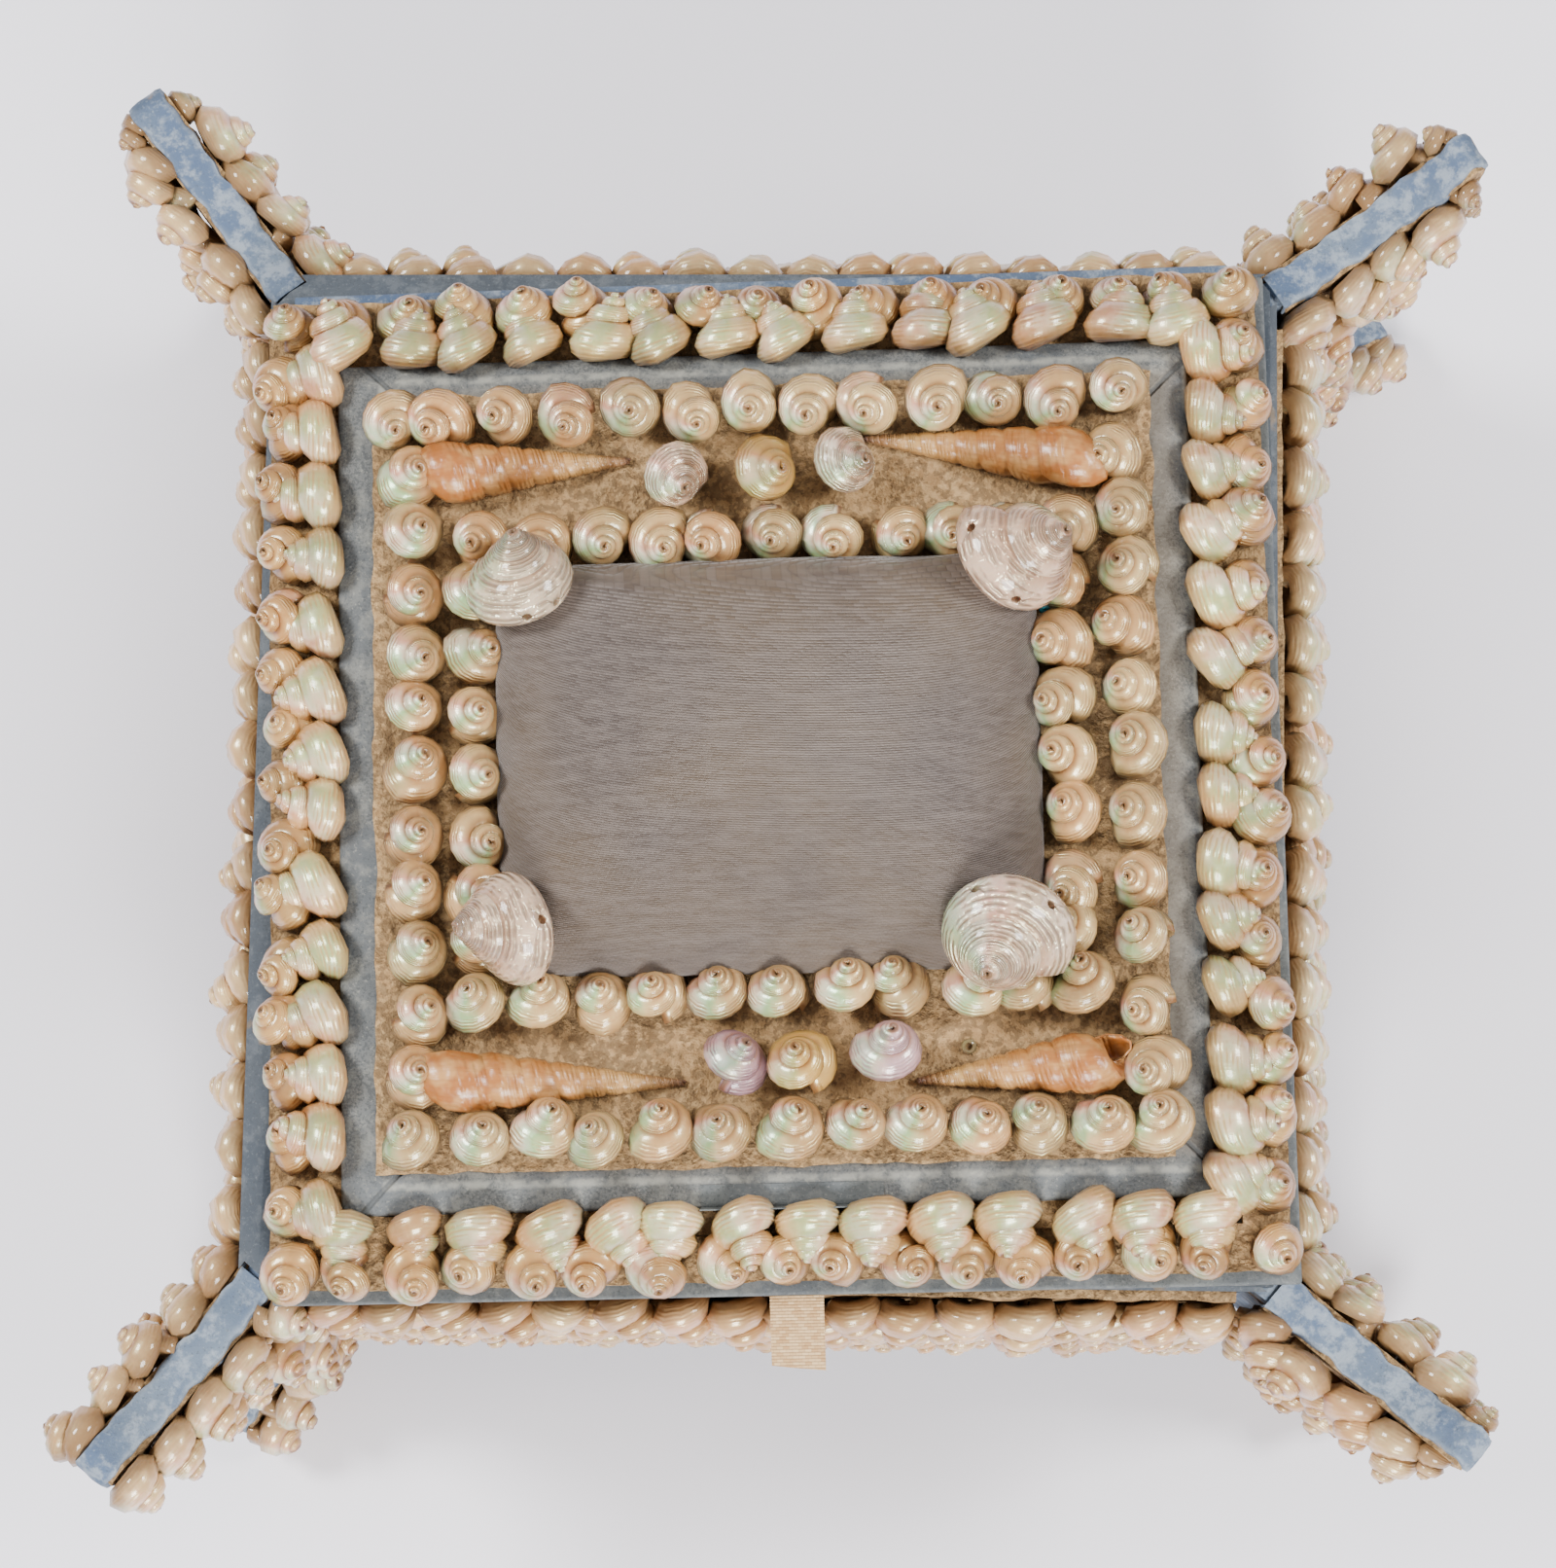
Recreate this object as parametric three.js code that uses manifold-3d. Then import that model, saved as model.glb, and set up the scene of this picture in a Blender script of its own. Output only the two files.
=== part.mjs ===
// A Victorian style shell-covered card box: a square body carried on four corner fins, and a
// hinged lid with a satin pincushion inside rings of pearly top shells.
// Millimetres, +Z up, front of the box towards -Y.
import * as THREE from "three";
import { mergeVertices } from "three/addons/utils/BufferGeometryUtils.js";
import Module from "manifold-3d";

const wasm = await Module();
wasm.setup();

// Box body
const BOX_SIDE = 177;
const BOX_WALL = 3;
const FLOOR_BOARD = 3;
const BODY_BOTTOM = 30;
const RIM_HEIGHT = 103;
const PAPER = 0.6;
const GAP = 0.3;
const BINDING_SKIRT = 8;
const FLANGE_REACH = 4;
const FLANGE_DROP = 2;

// Shells on the walls
const WALL_SHELL_PITCH = 11.1;
const WALL_SHELL_ROWS = 5;
const WALL_SHELL_RISE = 7;
const WALL_PUTTY = 2.6;
const WALL_PANEL_END = 6;
const WALL_PANEL_LIFT = 1.5;
const WALL_PANEL_DROP = 1;

// Corner fins: u runs outwards from the box corner, z runs up
const FIN_CURVE_STEP = 13;
const FIN_BOARD = 5;
const FIN_EDGE_WIDTH = 6.4;
const HORN_REACH = 44.9;
const HORN_ABOVE_RIM = 4;
const HORN_DEPTH = 14;
const HORN_ROUNDING = 3;
const HORN_SLANT = 1;
const HORN_UNDERCUT = 6;
const FIN_ROOT_BELOW_RIM = 3.5;
const FIN_DIP_BELOW_RIM = 6;
const WAIST_REACH = 14;
const WAIST_HEIGHT = 55;
const WAIST_SWEEP = 1;
const FOOT_REACH = 34;
const FOOT_TOE_HEIGHT = 13;
const FOOT_TOE_ROUNDING = 2;
const FOOT_TOE_NOSE = 5;
const FOOT_HEEL = 10;
const HEEL_CURL = 3;
const HEEL_HEIGHT = 12;
const ARCH_REACH = 2;
const ARCH_HEIGHT = 18;
const FIN_UNDER_REACH = 13;
const FIN_UNDER_DROP = 5;
const FIN_SHELL_RADIUS = 4.8;
const FIN_SHELL_RISE = 7.5;
const FIN_SHELL_PITCH = 10.6;
const FIN_PUTTY = 1.2;
const FIN_SHELL_MARGIN = 4.9;
const FIN_SHELL_EDGE = 5.1;
const FIN_SHELL_START = 7.6;
const FIN_BED_START = 3;
const FIN_BED_INSET = 0.2;

// Lid
const LID_SIDE = 179;
const LID_BOARD = 3;
const LID_CORNER = 5;
const LID_CENTRE = new THREE.Vector2(0.2, -0.6);
const LID_SKEW = THREE.MathUtils.degToRad(2);
const BOARD_SHIFT = new THREE.Vector2(0.7, -1.4);
const PLATFORM_SIDE = 151.5;
const PLATFORM_TOP_SIDE = 140;
const PLATFORM_EDGE_RISE = 5.5;
const PLATFORM_BEVEL_RISE = 2;
const LID_PUTTY = 1.2;
const LID_PUTTY_SIDE = 138;
const HINGE_STRIP_LENGTH = 168;
const TAB_WIDTH = 9.4;
const TAB_THICKNESS = 0.8;
const TAB_OUT = 12.4;
const TAB_IN = 8;
const TAB_DROOP = 2;
const TAB_OFFSET = 2.9;

// Rows of small shells on the lid
const ROW_BED = 1;
const STANDING_BED_WIDTH = 8.4;
const STANDING_RADIUS = 4.1;
const STANDING_RISE = 7.4;
const STANDING_PITCH = 10.6;
const STANDING_COUNT = 17;
const STANDING_OUT = 84.6;
const LYING_RADIUS = 5;
const LYING_LENGTH = 9.5;
const LYING_OUT = 78.3;
const LYING_BED_WIDTH = 3.6;
const LYING_BED = 3;
const LYING_TILT = THREE.MathUtils.degToRad(15);
const RING_BED_WIDTH = 10.6;
const RING_RADIUS = 5.2;
const RING_RISE = 9.5;
const RING_LEAN = THREE.MathUtils.degToRad(14);
const OUTER_RING = { x: 63.7, y: 65.2, pitch: 10.75 };
const INNER_RING = { x: 52.6, y: 42.4, pitch: 10.5 };
const RING_CENTRE = new THREE.Vector2(0.9, 0.3);

// Single shells on the lid, each placed in the lid's own plan
const TOWER_SHELLS = {
  back_left: { wide: [-57.1, 53.5], tip: [-23.4, 54.6], radius: 5.4, mouth: false },
  back_right: { wide: [58.6, 53.2], tip: [18.4, 55.2], radius: 5.4, mouth: false },
  front_left: { wide: [-57.1, -53.2], tip: [-14.6, -53.8], radius: 5.5, mouth: false },
  front_right: { wide: [58.6, -53], tip: [26.2, -53.6], radius: 5.4, mouth: true },
};
const TOWER_WHORLS = 6;
const TOWER_SIDES = 6;
const CENTRE_SHELLS = {
  back_left: [-16.6, 54.4],
  back_middle: [-0.9, 53.1],
  back_right: [12, 53.9],
  front_left: [-7.9, -53],
  front_middle: [5.6, -53.3],
  front_right: [19.4, -52.6],
};
const CENTRE_RADIUS = 5.1;
const CENTRE_RISE = 9;
const LARGE_SHELLS = {
  back_left: { at: [-41.9, 31.8], radius: 9.9, towards: 98, tilt: 40 },
  back_right: { at: [44, 34.2], radius: 10.8, towards: 14, tilt: 44 },
  front_left: { at: [-42.8, -28.6], radius: 10.4, towards: 188, tilt: 55 },
  front_right: { at: [41.6, -30.8], radius: 11.6, towards: 251, tilt: 40 },
};
const LARGE_SLENDERNESS = 1.65;
const BEAD_RADIUS = 1.1;
const BEAD_AT = new THREE.Vector2(49.4, 26.5);

// Pincushion
const CUSHION_X = 95.6;
const CUSHION_Y = 73.6;
const CUSHION_HEIGHT = 15;
const CUSHION_CENTRE = new THREE.Vector2(0.6, 0.2);

const CUT_OVERSHOOT = 1;

const half = BOX_SIDE / 2;
const hornHeight = RIM_HEIGHT + HORN_ABOVE_RIM;
const finRootHeight = RIM_HEIGHT - FIN_ROOT_BELOW_RIM;
const finDipHeight = RIM_HEIGHT - FIN_DIP_BELOW_RIM;
const lidUnderside = RIM_HEIGHT + GAP;
const ledgeHeight = lidUnderside + LID_BOARD;
const platformTop = ledgeHeight + PLATFORM_EDGE_RISE + PLATFORM_BEVEL_RISE;
const puttyTop = platformTop + GAP + LID_PUTTY;
const SIDES = { front: -90, right: 0, back: 90, left: 180 };

const finish = (color, roughness, metalness = 0) => {
  return new THREE.MeshStandardMaterial({ color, roughness, metalness, flatShading: true });
};
const bluePaper = finish(0x7c8a96, 0.85);
const brightPaper = finish(0x6f8fae, 0.85);
const pearl = finish(0xdcc9a8, 0.35);
const dullShell = finish(0xc9ab80, 0.45);
const putty = finish(0xa98a62, 0.9);
const satin = finish(0x9c9088, 0.6);
const towerShell = finish(0xc98a63, 0.4);
const silverShell = finish(0xd8d2c8, 0.25);
const ribbon = finish(0xc9a97c, 0.8);
const turquoise = finish(0x3fa9b5, 0.3);

// Turns a closed geometry into a solid that can be joined and cut.
function solidOf(geometry) {
  const bare = geometry.clone();
  for (const name of Object.keys(bare.attributes)) {
    if (name !== "position") bare.deleteAttribute(name);
  }
  const merged = mergeVertices(bare, 1e-4);
  const index = Array.from(merged.index.array);
  const corners = [];
  for (let i = 0; i < index.length; i += 3) {
    const [a, b, c] = index.slice(i, i + 3);
    if (a !== b && b !== c && c !== a) corners.push(a, b, c);
  }
  return new wasm.Manifold(new wasm.Mesh({
    numProp: 3,
    vertProperties: new Float32Array(merged.attributes.position.array),
    triVerts: new Uint32Array(corners),
  }));
}

function geometryOf(solid) {
  const mesh = solid.getMesh();
  const geometry = new THREE.BufferGeometry();
  geometry.setAttribute("position", new THREE.BufferAttribute(new Float32Array(mesh.vertProperties), 3));
  geometry.setIndex(Array.from(mesh.triVerts));
  geometry.computeVertexNormals();
  return geometry;
}

function addMesh(parent, name, geometry, material) {
  const mesh = new THREE.Mesh(geometry, material);
  mesh.name = name;
  parent.add(mesh);
  return mesh;
}

// A block from its lowest and highest corners.
function block(low, high) {
  const size = high.map((value, axis) => value - low[axis]);
  const geometry = new THREE.BoxGeometry(...size);
  geometry.translate(...low.map((value, axis) => value + size[axis] / 2));
  return geometry;
}

// A shape drawn in (u, z), given a thickness centred on the plane y = 0.
function uprightPlate(points, thickness, baseY = -thickness / 2) {
  const options = { depth: thickness, bevelEnabled: false };
  const geometry = new THREE.ExtrudeGeometry(new THREE.Shape(points), options);
  geometry.rotateX(Math.PI / 2);
  geometry.translate(0, baseY + thickness, 0);
  return geometry;
}

// A square body turned from a profile of half-widths and heights.
function squareTurned(profile) {
  const points = profile.map(([width, z]) => new THREE.Vector2(width * Math.SQRT2, z));
  const geometry = new THREE.LatheGeometry(points, 4);
  geometry.rotateX(Math.PI / 2);
  geometry.rotateZ(Math.PI / 4);
  return geometry;
}

// A round body turned about +Z from a profile of radii and heights.
function turned(profile, sides) {
  const points = profile.map(([radius, z]) => new THREE.Vector2(radius, z));
  const geometry = new THREE.LatheGeometry(points, sides);
  geometry.rotateX(Math.PI / 2);
  return geometry;
}

// A small pearly top shell standing on its mouth, seen as a shouldered cone.
function smallShell(radius, rise, sides = 5) {
  return turned([[0, 0], [radius, 0], [radius * 0.66, rise * 0.5], [0, rise]], sides);
}

// A lean that keeps the mouth flat: the point moves towards -y by the tangent of the angle.
function lean(geometry, angle) {
  const shear = new THREE.Matrix4().makeShear(0, 0, 0, 0, 0, -Math.tan(angle));
  return geometry.applyMatrix4(shear);
}

// A lid row: shells fused on one strip of putty, x along the row and y outwards.
function shellRow({ count, pitch, shell, bedWidth, bed, skip = () => false }) {
  const length = (count - 1) * pitch + bedWidth;
  const pieces = [solidOf(block([-length / 2, -bedWidth / 2, 0], [length / 2, bedWidth / 2, bed]))];
  for (let i = 0; i < count; i += 1) {
    const x = (i - (count - 1) / 2) * pitch;
    if (!skip(x)) pieces.push(solidOf(shell(i).translate(x, 0, bed - GAP / 2)));
  }
  return wasm.Manifold.union(pieces);
}

// A wall of shells: staggered rows of facets that rise from the putty to one point a shell.
function shellField(width, height, columns, rows, bed, rise) {
  const pitch = width / columns;
  const rowHeight = height / rows;
  const corners = [];
  const face = (a, b, c) => corners.push(...a, ...b, ...c);
  for (let row = 0; row < rows; row += 1) {
    const z0 = row * rowHeight;
    const z1 = z0 + rowHeight;
    const staggered = row % 2 === 1;
    const edges = staggered ? [0] : [];
    const shift = staggered ? 0.5 : 0;
    for (let i = 0; i + 2 * shift <= columns; i += 1) edges.push((i + shift) * pitch);
    if (staggered) edges.push(width);
    for (let i = 0; i + 1 < edges.length; i += 1) {
      const [x0, x1] = [edges[i], edges[i + 1]];
      const middle = (x0 + x1) / 2;
      const whole = x1 - x0 > 0.75 * pitch;
      const outline = [[x0, bed, z0]];
      if (whole && row > 0) outline.push([middle, bed, z0]);
      outline.push([x1, bed, z0], [x1, bed, z1]);
      if (whole && row < rows - 1) outline.push([middle, bed, z1]);
      outline.push([x0, bed, z1]);
      const top = [middle, bed + rise * (whole ? 1 : 0.6), z0 + rowHeight * 0.45];
      outline.forEach((point, k) => face(outline[(k + 1) % outline.length], point, top));
    }
  }
  const between = (from, to, share) => from.map((value, axis) => value + (to[axis] - value) * share);
  const rim = (from, to, count) => {
    return Array.from({ length: count + 1 }, (_, k) => between(from, to, k / count));
  };
  const lowLeft = [0, bed, 0];
  const lowRight = [width, bed, 0];
  const highRight = [width, bed, height];
  const highLeft = [0, bed, height];
  const sides = [
    [lowLeft, lowRight, columns], [lowRight, highRight, rows],
    [highRight, highLeft, columns], [highLeft, lowLeft, rows],
  ];
  const flat = ([x, , z]) => [x, 0, z];
  for (const [from, to, count] of sides) {
    const line = rim(from, to, count);
    for (let k = 0; k < count; k += 1) face(line[k], line[k + 1], flat(from));
    face(to, flat(to), flat(from));
  }
  face(flat(lowLeft), flat(lowRight), flat(highRight));
  face(flat(lowLeft), flat(highRight), flat(highLeft));
  const geometry = new THREE.BufferGeometry();
  geometry.setAttribute("position", new THREE.Float32BufferAttribute(corners, 3));
  geometry.translate(-width / 2, 0, 0);
  return geometryOf(solidOf(geometry));
}

const model = new THREE.Group();

// Card body and the blue paper that binds its rim
function addBody() {
  const cardTop = RIM_HEIGHT - PAPER - GAP;
  const inner = half - BOX_WALL;
  const outside = solidOf(block([-half, -half, BODY_BOTTOM], [half, half, cardTop]));
  const boardTop = BODY_BOTTOM + FLOOR_BOARD;
  const cutTop = cardTop + CUT_OVERSHOOT;
  const hollow = solidOf(block([-inner, -inner, boardTop], [inner, inner, cutTop]));
  addMesh(model, "box_carcass", geometryOf(outside.subtract(hollow)), bluePaper);

  const innerFace = inner - GAP;
  const skirtBottom = RIM_HEIGHT - BINDING_SKIRT;
  const outerFace = half + GAP;
  const binding = squareTurned([
    [innerFace, skirtBottom],
    [innerFace, cardTop + GAP],
    [outerFace, cardTop + GAP],
    [half + FLANGE_REACH, cardTop + GAP - FLANGE_DROP],
    [half + FLANGE_REACH, RIM_HEIGHT - FLANGE_DROP],
    [outerFace, RIM_HEIGHT],
    [innerFace - PAPER, RIM_HEIGHT],
    [innerFace - PAPER, skirtBottom],
    [innerFace, skirtBottom],
  ]);
  let ring = solidOf(binding);
  for (const fin of FINS) {
    const slot = block(
      [GAP, -FIN_EDGE_WIDTH / 2 - GAP, 0],
      [2 * FLANGE_REACH * Math.SQRT2, FIN_EDGE_WIDTH / 2 + GAP, RIM_HEIGHT + CUT_OVERSHOOT],
    );
    ring = ring.subtract(solidOf(slot.applyMatrix4(finPlace(fin))));
  }
  addMesh(model, "rim_binding", geometryOf(ring), brightPaper);
}

function addWallShells() {
  const width = BOX_SIDE - 2 * WALL_PANEL_END;
  const bottom = BODY_BOTTOM + WALL_PANEL_LIFT;
  const height = RIM_HEIGHT - FLANGE_DROP - PAPER - WALL_PANEL_DROP - bottom;
  const columns = Math.round(width / WALL_SHELL_PITCH);
  for (const [side, angle] of Object.entries(SIDES)) {
    const field = shellField(width, height, columns, WALL_SHELL_ROWS, WALL_PUTTY, WALL_SHELL_RISE);
    const mesh = addMesh(model, `wall_shells_${side}`, field, dullShell);
    const turn = THREE.MathUtils.degToRad(angle);
    mesh.rotation.z = turn - Math.PI / 2;
    mesh.position.set(Math.cos(turn) * (half + GAP), Math.sin(turn) * (half + GAP), bottom);
  }
}

// The four fins stand near the diagonals, each at its own plan angle.
const FINS = [
  { name: "front_left", corner: [-1, -1], angle: 231.8 },
  { name: "front_right", corner: [1, -1], angle: 320.9 },
  { name: "back_right", corner: [1, 1], angle: 34.9 },
  { name: "back_left", corner: [-1, 1], angle: 128.1 },
];

function finPlace(fin) {
  const place = new THREE.Matrix4().makeRotationZ(THREE.MathUtils.degToRad(fin.angle));
  return place.setPosition(fin.corner[0] * half, fin.corner[1] * half, 0);
}

// The fin's outer edge, from the root along the horn and down the hollow front to the toe.
function finEdge() {
  const path = new THREE.Path();
  const tipStart = HORN_REACH - HORN_ROUNDING;
  path.moveTo(0, finRootHeight);
  path.quadraticCurveTo(HORN_REACH * 0.5, 2 * finDipHeight - finRootHeight, tipStart, hornHeight);
  path.quadraticCurveTo(HORN_REACH, hornHeight, HORN_REACH, hornHeight - HORN_ROUNDING);
  path.lineTo(HORN_REACH - HORN_SLANT, hornHeight - HORN_DEPTH);
  path.bezierCurveTo(
    HORN_REACH * 0.62, hornHeight - HORN_DEPTH - HORN_UNDERCUT,
    WAIST_REACH + WAIST_SWEEP, (WAIST_HEIGHT + hornHeight) / 2 - HORN_ROUNDING,
    WAIST_REACH, WAIST_HEIGHT,
  );
  path.bezierCurveTo(
    WAIST_REACH, WAIST_HEIGHT * 0.5,
    FOOT_REACH * 0.55, FOOT_TOE_HEIGHT * 1.6,
    FOOT_REACH - FOOT_TOE_ROUNDING, FOOT_TOE_HEIGHT,
  );
  const toe = FOOT_TOE_HEIGHT - FOOT_TOE_ROUNDING;
  path.quadraticCurveTo(FOOT_REACH, toe, FOOT_REACH, FOOT_TOE_HEIGHT - FOOT_TOE_NOSE);
  path.lineTo(FOOT_REACH - FOOT_TOE_ROUNDING, 0);
  const points = [];
  for (const curve of path.curves) {
    const steps = Math.ceil(curve.getLength() / FIN_CURVE_STEP);
    for (const point of curve.getPoints(steps)) {
      if (!points.length || point.distanceTo(points.at(-1)) > 1e-6) points.push(point);
    }
  }
  return points;
}

// The whole outline adds the sole, the heel and a short arm under the box.
function finOutline() {
  const heel = new THREE.CubicBezierCurve(
    new THREE.Vector2(FOOT_HEEL, 0),
    new THREE.Vector2(FOOT_HEEL - HEEL_CURL, HEEL_HEIGHT),
    new THREE.Vector2(ARCH_REACH, ARCH_HEIGHT),
    new THREE.Vector2(-FIN_UNDER_REACH, BODY_BOTTOM - FIN_UNDER_DROP),
  );
  const inside = [
    new THREE.Vector2(-FIN_UNDER_REACH, BODY_BOTTOM + FLOOR_BOARD),
    new THREE.Vector2(-FIN_UNDER_REACH / 2, finRootHeight),
  ];
  return [...finEdge(), ...heel.getPoints(4), ...inside];
}

// Moves each point of a line sideways, to the left of its direction.
function offsetLine(points, distance) {
  return points.map((point, i) => {
    const before = points[Math.max(i - 1, 0)];
    const after = points[Math.min(i + 1, points.length - 1)];
    const along = after.clone().sub(before).normalize();
    return new THREE.Vector2(point.x - along.y * distance, point.y + along.x * distance);
  });
}

function insideOutline(point, outline, margin) {
  let inside = false;
  let nearest = Infinity;
  outline.forEach((a, i) => {
    const b = outline[(i + 1) % outline.length];
    const crosses = (a.y > point.y) !== (b.y > point.y);
    if (crosses && point.x < (b.x - a.x) * (point.y - a.y) / (b.y - a.y) + a.x) inside = !inside;
    const line = new THREE.Line3(new THREE.Vector3(a.x, a.y, 0), new THREE.Vector3(b.x, b.y, 0));
    const spot = new THREE.Vector3(point.x, point.y, 0);
    nearest = Math.min(nearest, line.closestPointToPoint(spot, true, new THREE.Vector3()).distanceTo(spot));
  });
  return inside && nearest > margin;
}

// Where the shells stand on a fin's face: a line along the outer edge, then the space behind it.
function finShellSpots(outline) {
  const spots = [];
  const tryAt = (spot) => {
    const free = spots.every((other) => other.distanceTo(spot) > FIN_SHELL_PITCH * 0.93);
    const clear = spot.x >= FIN_SHELL_START && spot.y > FIN_SHELL_RADIUS;
    if (free && clear && insideOutline(spot, outline, FIN_SHELL_MARGIN)) spots.push(spot);
  };
  const line = new THREE.Path(offsetLine(finEdge(), -FIN_SHELL_EDGE));
  line.getSpacedPoints(Math.round(line.getLength() / (FIN_SHELL_PITCH * 0.25))).forEach(tryAt);
  const step = FIN_SHELL_PITCH / 2;
  for (let z = FIN_SHELL_RADIUS + GAP; z < hornHeight; z += step) {
    for (let u = FIN_SHELL_START; u < HORN_REACH; u += step) tryAt(new THREE.Vector2(u, z));
  }
  return spots;
}

// Shells crowd one face of a fin, on a thin bed of putty.
function finShells(outline) {
  const bedOutline = offsetLine([...outline, outline[0]], -FIN_BED_INSET).slice(0, -1);
  const reach = [2 * half, FIN_PUTTY + 1, 2 * RIM_HEIGHT];
  const bed = solidOf(uprightPlate(bedOutline, FIN_PUTTY, 0));
  const pieces = [bed.intersect(solidOf(block([FIN_BED_START, -1, FIN_BED_INSET], reach)))];
  for (const spot of finShellSpots(outline)) {
    const cone = turned([[0, 0], [FIN_SHELL_RADIUS, 0], [0, FIN_SHELL_RISE]], 4);
    cone.rotateX(-Math.PI / 2);
    pieces.push(solidOf(cone.translate(spot.x, FIN_PUTTY - GAP / 2, spot.y)));
  }
  return wasm.Manifold.union(pieces);
}

function addFins() {
  const outline = finOutline();
  const edge = finEdge();
  const low = BODY_BOTTOM - GAP;
  const body = block([-half - GAP, -half - GAP, low], [half + GAP, half + GAP, 2 * RIM_HEIGHT]);
  const binding = [...offsetLine(edge, GAP), ...offsetLine(edge, GAP + PAPER).reverse()];
  const aboveFloor = solidOf(block([PAPER, -half, GAP], [2 * half, half, 2 * RIM_HEIGHT]));
  const facing = finShells(outline);
  for (const fin of FINS) {
    const group = new THREE.Group();
    group.applyMatrix4(finPlace(fin));
    model.add(group);
    const boxHere = solidOf(body.clone().applyMatrix4(finPlace(fin).invert()));
    const board = solidOf(uprightPlate(outline, FIN_BOARD)).subtract(boxHere);
    addMesh(group, `fin_${fin.name}`, geometryOf(board), brightPaper);
    const strip = solidOf(uprightPlate(binding, FIN_EDGE_WIDTH)).intersect(aboveFloor).subtract(boxHere);
    addMesh(group, `fin_edging_${fin.name}`, geometryOf(strip), brightPaper);
    for (const sign of [1, -1]) {
      const towardsEnd = (fin.corner[0] * fin.corner[1] > 0) === (sign > 0);
      const name = `fin_shells_${fin.name}_${towardsEnd ? "end" : "side"}`;
      const shells = sign > 0 ? facing : facing.mirror([0, 1, 0]);
      const mesh = addMesh(group, name, geometryOf(shells), dullShell);
      mesh.position.y = sign * (FIN_BOARD / 2 + GAP);
    }
  }
}

// Lid
const lid = new THREE.Group();
lid.position.set(LID_CENTRE.x, LID_CENTRE.y, 0);
lid.rotation.z = LID_SKEW;
model.add(lid);

function roundedSquare(side, radius) {
  const reach = side / 2;
  const shape = new THREE.Shape();
  shape.moveTo(-reach + radius, -reach);
  shape.lineTo(reach - radius, -reach);
  shape.quadraticCurveTo(reach, -reach, reach, -reach + radius);
  shape.lineTo(reach, reach - radius);
  shape.quadraticCurveTo(reach, reach, reach - radius, reach);
  shape.lineTo(-reach + radius, reach);
  shape.quadraticCurveTo(-reach, reach, -reach, reach - radius);
  shape.lineTo(-reach, -reach + radius);
  shape.quadraticCurveTo(-reach, -reach, -reach + radius, -reach);
  return shape;
}

function addLidBoard() {
  const board = new THREE.ExtrudeGeometry(roundedSquare(LID_SIDE, LID_CORNER), {
    depth: LID_BOARD, bevelEnabled: false, curveSegments: 3,
  });
  board.translate(BOARD_SHIFT.x, BOARD_SHIFT.y, lidUnderside);
  const front = BOARD_SHIFT.y - LID_SIDE / 2;
  const tabZ = lidUnderside + (LID_BOARD - TAB_THICKNESS) / 2;
  const slot = block(
    [TAB_OFFSET - TAB_WIDTH / 2 - GAP, front - 1, tabZ - GAP],
    [TAB_OFFSET + TAB_WIDTH / 2 + GAP, front + TAB_IN + GAP, tabZ + TAB_THICKNESS + GAP],
  );
  addMesh(lid, "lid_board", geometryOf(solidOf(board).subtract(solidOf(slot))), bluePaper);

  const tab = uprightPlate([
    new THREE.Vector2(TAB_IN, 0),
    new THREE.Vector2(TAB_IN, TAB_THICKNESS),
    new THREE.Vector2(-TAB_OUT * 0.3, TAB_THICKNESS),
    new THREE.Vector2(-TAB_OUT, TAB_THICKNESS - TAB_DROOP),
    new THREE.Vector2(-TAB_OUT, -TAB_DROOP),
    new THREE.Vector2(-TAB_OUT * 0.3, 0),
  ], TAB_WIDTH);
  tab.rotateZ(Math.PI / 2);
  addMesh(lid, "pull_tab", tab, ribbon).position.set(TAB_OFFSET, front, tabZ);

  const back = BOARD_SHIFT.y + LID_SIDE / 2 + GAP;
  const strip = block(
    [BOARD_SHIFT.x - HINGE_STRIP_LENGTH / 2, back, lidUnderside],
    [BOARD_SHIFT.x + HINGE_STRIP_LENGTH / 2, back + PAPER, ledgeHeight],
  );
  addMesh(lid, "lid_hinge_strip", strip, brightPaper);
}

function addPlatform() {
  const bottom = ledgeHeight + GAP;
  const edge = ledgeHeight + PLATFORM_EDGE_RISE;
  const platform = squareTurned([
    [0, bottom],
    [PLATFORM_SIDE / 2, bottom],
    [PLATFORM_SIDE / 2, edge],
    [PLATFORM_TOP_SIDE / 2, platformTop],
    [0, platformTop],
  ]);
  addMesh(lid, "lid_platform", geometryOf(solidOf(platform)), bluePaper);
  const reach = LID_PUTTY_SIDE / 2;
  const bed = block([-reach, -reach, platformTop + GAP], [reach, reach, puttyTop]);
  addMesh(lid, "lid_putty_bed", bed, putty);
}

// Stands one row on each side of a rectangle of half sizes x and y.
function addRing(name, centre, reach, height, material, makeRow) {
  for (const [side, angle] of Object.entries(SIDES)) {
    const turn = THREE.MathUtils.degToRad(angle);
    const across = side === "front" || side === "back";
    const place = new THREE.Matrix4().makeRotationZ(turn - Math.PI / 2);
    place.setPosition(centre.x + Math.cos(turn) * reach.x, centre.y + Math.sin(turn) * reach.y, height);
    const mesh = addMesh(lid, `${name}_${side}`, geometryOf(makeRow(across, place)), material);
    mesh.applyMatrix4(place);
  }
}

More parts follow.
